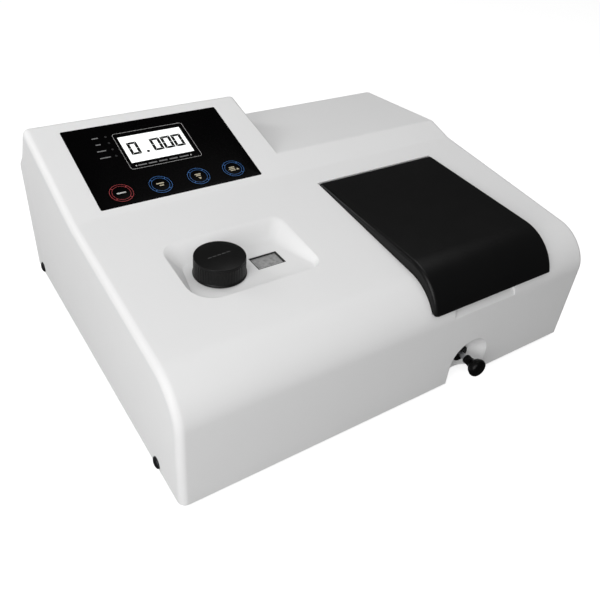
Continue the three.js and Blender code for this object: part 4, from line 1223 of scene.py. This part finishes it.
def ceramic(name):
    colours = ((0.74, 0.71, 0.64), (0.84, 0.82, 0.77))
    return material(name).finish(colours, (60, 4), ((1500, 3), 0.5, 0.7), ((1500, 3), 0.00003))


FINISHES = {
    "cover_plastic": plastic("cover_white", (0.8, 0.8, 0.8), 0.5, 0.25, 1100, 0.000015, 0.012),
    "lid_plastic": plastic("lid_satin_black", (0.0046, 0.0046, 0.0047), 0.34, 0.2, 1500, 0.00003, 0.15),
    "black_plastic": plastic("moulded_black", (0.008, 0.008, 0.0085), 0.36, 0.35, 900, 0.00002, 0.15),
    "gloss_black": plastic("polished_black", (0.003, 0.003, 0.003), 0.28, 0.12, 500, 0.000004, 0.1),
    "knob_black": plastic("knob_black", (0.006, 0.006, 0.006), 0.36, 0.2, 900, 0.00002, 0.15),
    "lining": plastic("window_lining", (0.04, 0.04, 0.04), 0.6, 0.2, 900, 0.00002, 0.2),
    "rubber": rubber("foot_rubber"),
    "black_screw": brushed("black_oxide", (0.025, 0.025, 0.028), 0.38, (1, 1, 1), 0.7),
    "steel": brushed("turned_steel", (0.58, 0.59, 0.61), 0.26),
    "sheet_steel": powder_coat("grey_powder_coat", (0.38, 0.4, 0.42)),
    "cast_black": casting("black_casting", (0.03, 0.03, 0.034)),
    "brass": brushed("turned_brass", (0.72, 0.52, 0.2), 0.24),
    "overlay": overlay_film("keypad_film"),
    "screen": lit_screen("display_white"),
    "key_red": overlay_film("mode_key_film"),
    "key_blue": overlay_film("blue_key_film"),
    "white_ink": ink("white_ink", (0.5, 0.5, 0.49)),
    "label_ink": ink("label_ink", (0.2, 0.2, 0.2)),
    "knob_ink": ink("knob_ink", (0.07, 0.07, 0.07)),
    "gold_ink": ink("cream_ink", (0.5, 0.45, 0.33)),
    "red_ink": ink("red_ink", (0.36, 0.055, 0.06)),
    "blue_ink": ink("blue_ink", (0.05, 0.15, 0.38)),
    "digit_ink": ink("digit_black", (0.004, 0.004, 0.004)),
    "indicator": ink("indicator_lens", (0.035, 0.035, 0.035)),
    "clear_glass": glass("clear_glass", (0.93, 0.96, 0.96)),
    "window_glass": window_glass("smeared_window_painted_glints"),
    "mirror_glass": mirror("front_mirror"),
    "dial": plastic("dial_face", (0.85, 0.85, 0.84), 0.5, 0.3, 1200, 0.00001, 0.1),
    "board": circuit_board("circuit_board"),
    "transformer": laminated("transformer_stack"),
    "ceramic": ceramic("lamp_ceramic"),
}


# View, light and floor

# The camera: its place in metres, and its azimuth, elevation and roll in degrees
CAMERA_AT = (-0.3528, -0.48915, 0.4735)
CAMERA_ANGLES = (-36.274, 36.949, 5.213)
CAMERA_LENS = {"lens": 39.92, "sensor_width": 36.0, "shift_x": -0.001, "shift_y": -0.0157}
LIGHT_TARGET = (0, 0, 0.1)
AMBIENT = 0.27
AMBIENT_IN_GLOSS = 0.05
FLOOR_REACH = 6.0

# Each light: its place, what it points at, its diameter and its power
LIGHTS = {
    "key": ((-1.15, -0.85, 1.6), LIGHT_TARGET, 1.3, 7.2),
    "side_fill": ((-1.3, -0.78, 0.62), LIGHT_TARGET, 1.0, 11.4),
    "overhead": ((0.4, 0.15, 1.4), LIGHT_TARGET, 0.9, 5.0),
    "front_fill": ((-0.38, -0.75, 0.75), LIGHT_TARGET, 0.4, 0.8),
    "edge_light": ((-0.6, 0.62, 0.52), (0.02, -0.05, 0.12), 0.25, 1.5),
}


def add_camera():
    data = bpy.data.cameras.new("camera")
    for key, value in CAMERA_LENS.items():
        setattr(data, key, value)
    data.clip_start = 0.01
    azimuth, elevation, roll = (math.radians(angle) for angle in CAMERA_ANGLES)
    pitch = Matrix.Rotation(math.pi / 2 - elevation, 4, "X")
    turn = Matrix.Rotation(azimuth, 4, "Z") @ pitch @ Matrix.Rotation(roll, 4, "Z")
    camera = new_object("camera", data)
    camera.matrix_world = Matrix.Translation(CAMERA_AT) @ turn
    bpy.context.scene.camera = camera


def add_light(name, location, target, size, power):
    data = bpy.data.lights.new(name, "AREA")
    data.shape = "DISK"
    data.size = size
    data.energy = power
    light = new_object(name, data)
    light.location = location
    aim = Vector(target) - Vector(location)
    light.rotation_euler = aim.to_track_quat("-Z", "Y").to_euler()
    light.visible_camera = False


def add_world():
    """Even white light and a white backdrop; polished pieces reflect a much darker room."""
    world = bpy.data.worlds.new("studio")
    bpy.context.scene.world = world
    nodes = Nodes(world, "Background")
    path = nodes.add("ShaderNodeLightPath").outputs
    ambient = nodes.span(path["Is Glossy Ray"], AMBIENT, AMBIENT_IN_GLOSS)
    links = {"Value": path["Is Camera Ray"], "To Min": ambient}
    backdrop = nodes.add("ShaderNodeMapRange", {"To Max": 1.0}, links)
    nodes.set(Color=(1, 1, 1, 1))
    nodes.link(backdrop.outputs["Result"], "Strength")


def add_floor():
    """A pale floor that the camera sees lifted to white, while it lights the object only softly."""
    nodes = material("floor_white")
    path = nodes.add("ShaderNodeLightPath").outputs
    pale = nodes.blend((3, 3), (0.5, 0.5, 0.5), (0.53, 0.53, 0.53))
    nodes.link(nodes.blend(path["Is Glossy Ray"], pale, (0.06, 0.06, 0.06)), "Base Color")
    nodes.link(nodes.span(path["Is Camera Ray"], 0.0, 0.8), "Emission Strength")
    nodes.set(Roughness=0.9, Specular_IOR_Level=0.1, Emission_Color=(1, 1, 1, 1))
    reach = (-FLOOR_REACH, FLOOR_REACH)
    mesh = bpy.data.meshes.new("floor")
    mesh.from_pydata([(x, y, 0) for y in reach for x in reach], [], [(0, 1, 3, 2)])
    mesh.materials.append(nodes.owner)
    new_object("floor", mesh)


def add_surroundings():
    bpy.context.scene.view_settings.view_transform = "Standard"
    add_world()
    add_floor()
    for name, light in LIGHTS.items():
        add_light(name, *light)


# Every piece with its finish, its body, its slot and the CAD nodes that it stands for


def keep(obj, look, body, slot, *nodes):
    obj.data.materials.clear()
    obj.data.materials.append(FINISHES[look])
    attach(obj, body)
    if nodes:
        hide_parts(*nodes)


# The film, ring print and legend of the first key, and of the other three
KEY_LOOKS = (("key_red", "red_ink", "white_ink"), ("key_blue", "blue_ink", "gold_ink"))


def place_all():
    keep(build_cover(), "cover_plastic", "case", "cover_plastic", "top_cover")
    keep(build_lid(), "lid_plastic", "lid", "black_plastic", "sample_lid")
    keep(build_wavelength_knob(), "knob_black", "knob", "black_plastic", "wavelength_knob")
    keep(build_knob_legend(), "knob_ink", "knob", "black_plastic")
    keep(build_dial(), "dial", "dial", "dial", "dial_disc")
    keep(build_dial_marks(), "digit_ink", "dial", "dial")
    keep(build_window(), "window_glass", "case", "clear_glass", "dial_window")
    keep(build_window_lining(), "lining", "case", "black_plastic")
    keep(build_rod_knob(), "gloss_black", "rack", "black_plastic", "rod_knob")
    keep(build_rod_bush(), "gloss_black", "case", "black_plastic", "rod_bush")
    for corner in CORNERS:
        screw, foot = "side_screw_" + corner, "foot_" + corner
        keep(build_screw(screw), "black_screw", "case", "black_screw", screw)
        keep(build_foot(foot), "rubber", "case", "rubber", foot)
    keep(build_overlay(), "overlay", "case", "overlay", "panel_overlay")
    keep(build_frame_line(), "white_ink", "case", "overlay")
    keep(build_labels(), "label_ink", "case", "overlay")
    keep(on_panel("caption_dots", add_caption_dots), "white_ink", "case", "overlay")
    for i, (node, body) in enumerate(zip(KEY_NODES, KEY_BODIES)):
        key, rings, marks = KEY_LOOKS[min(i, 1)]
        keep(build_key(i), key, body, key, node)
        keep(on_panel(node + "_rings", add_key_rings, i), rings, body, key)
        keep(build_key_marks(i), marks, body, key)
        keep(build_lamp(i), "indicator", "case", "indicator", f"indicator_{i + 1}")
    keep(on_panel("display_face", add_screen), "screen", "case", "screen", "display_screen")
    keep(build_digits(), "digit_ink", "case", "screen")


CAD_SLOTS = {item["node"]: item["material_slot"] for item in frame["record"]["subparts"]}


def dress_cad_nodes():
    """Gives each CAD node that is still shown its finish, smooth curves and softened edges."""
    for name, node in frame["nodes"].items():
        if node.hide_render:
            continue
        node.data.materials.clear()
        node.data.materials.append(FINISHES[CAD_SLOTS[name]])
        if "custom_normal" in node.data.attributes:
            node.data.attributes.remove(node.data.attributes["custom_normal"])
        node.data.shade_smooth()
        weld = node.modifiers.new("weld", "WELD")
        weld.merge_threshold = 0.00001
        soften_edges(node, 0.25, 2, 38)


place_all()
dress_cad_nodes()
add_surroundings()
add_camera()
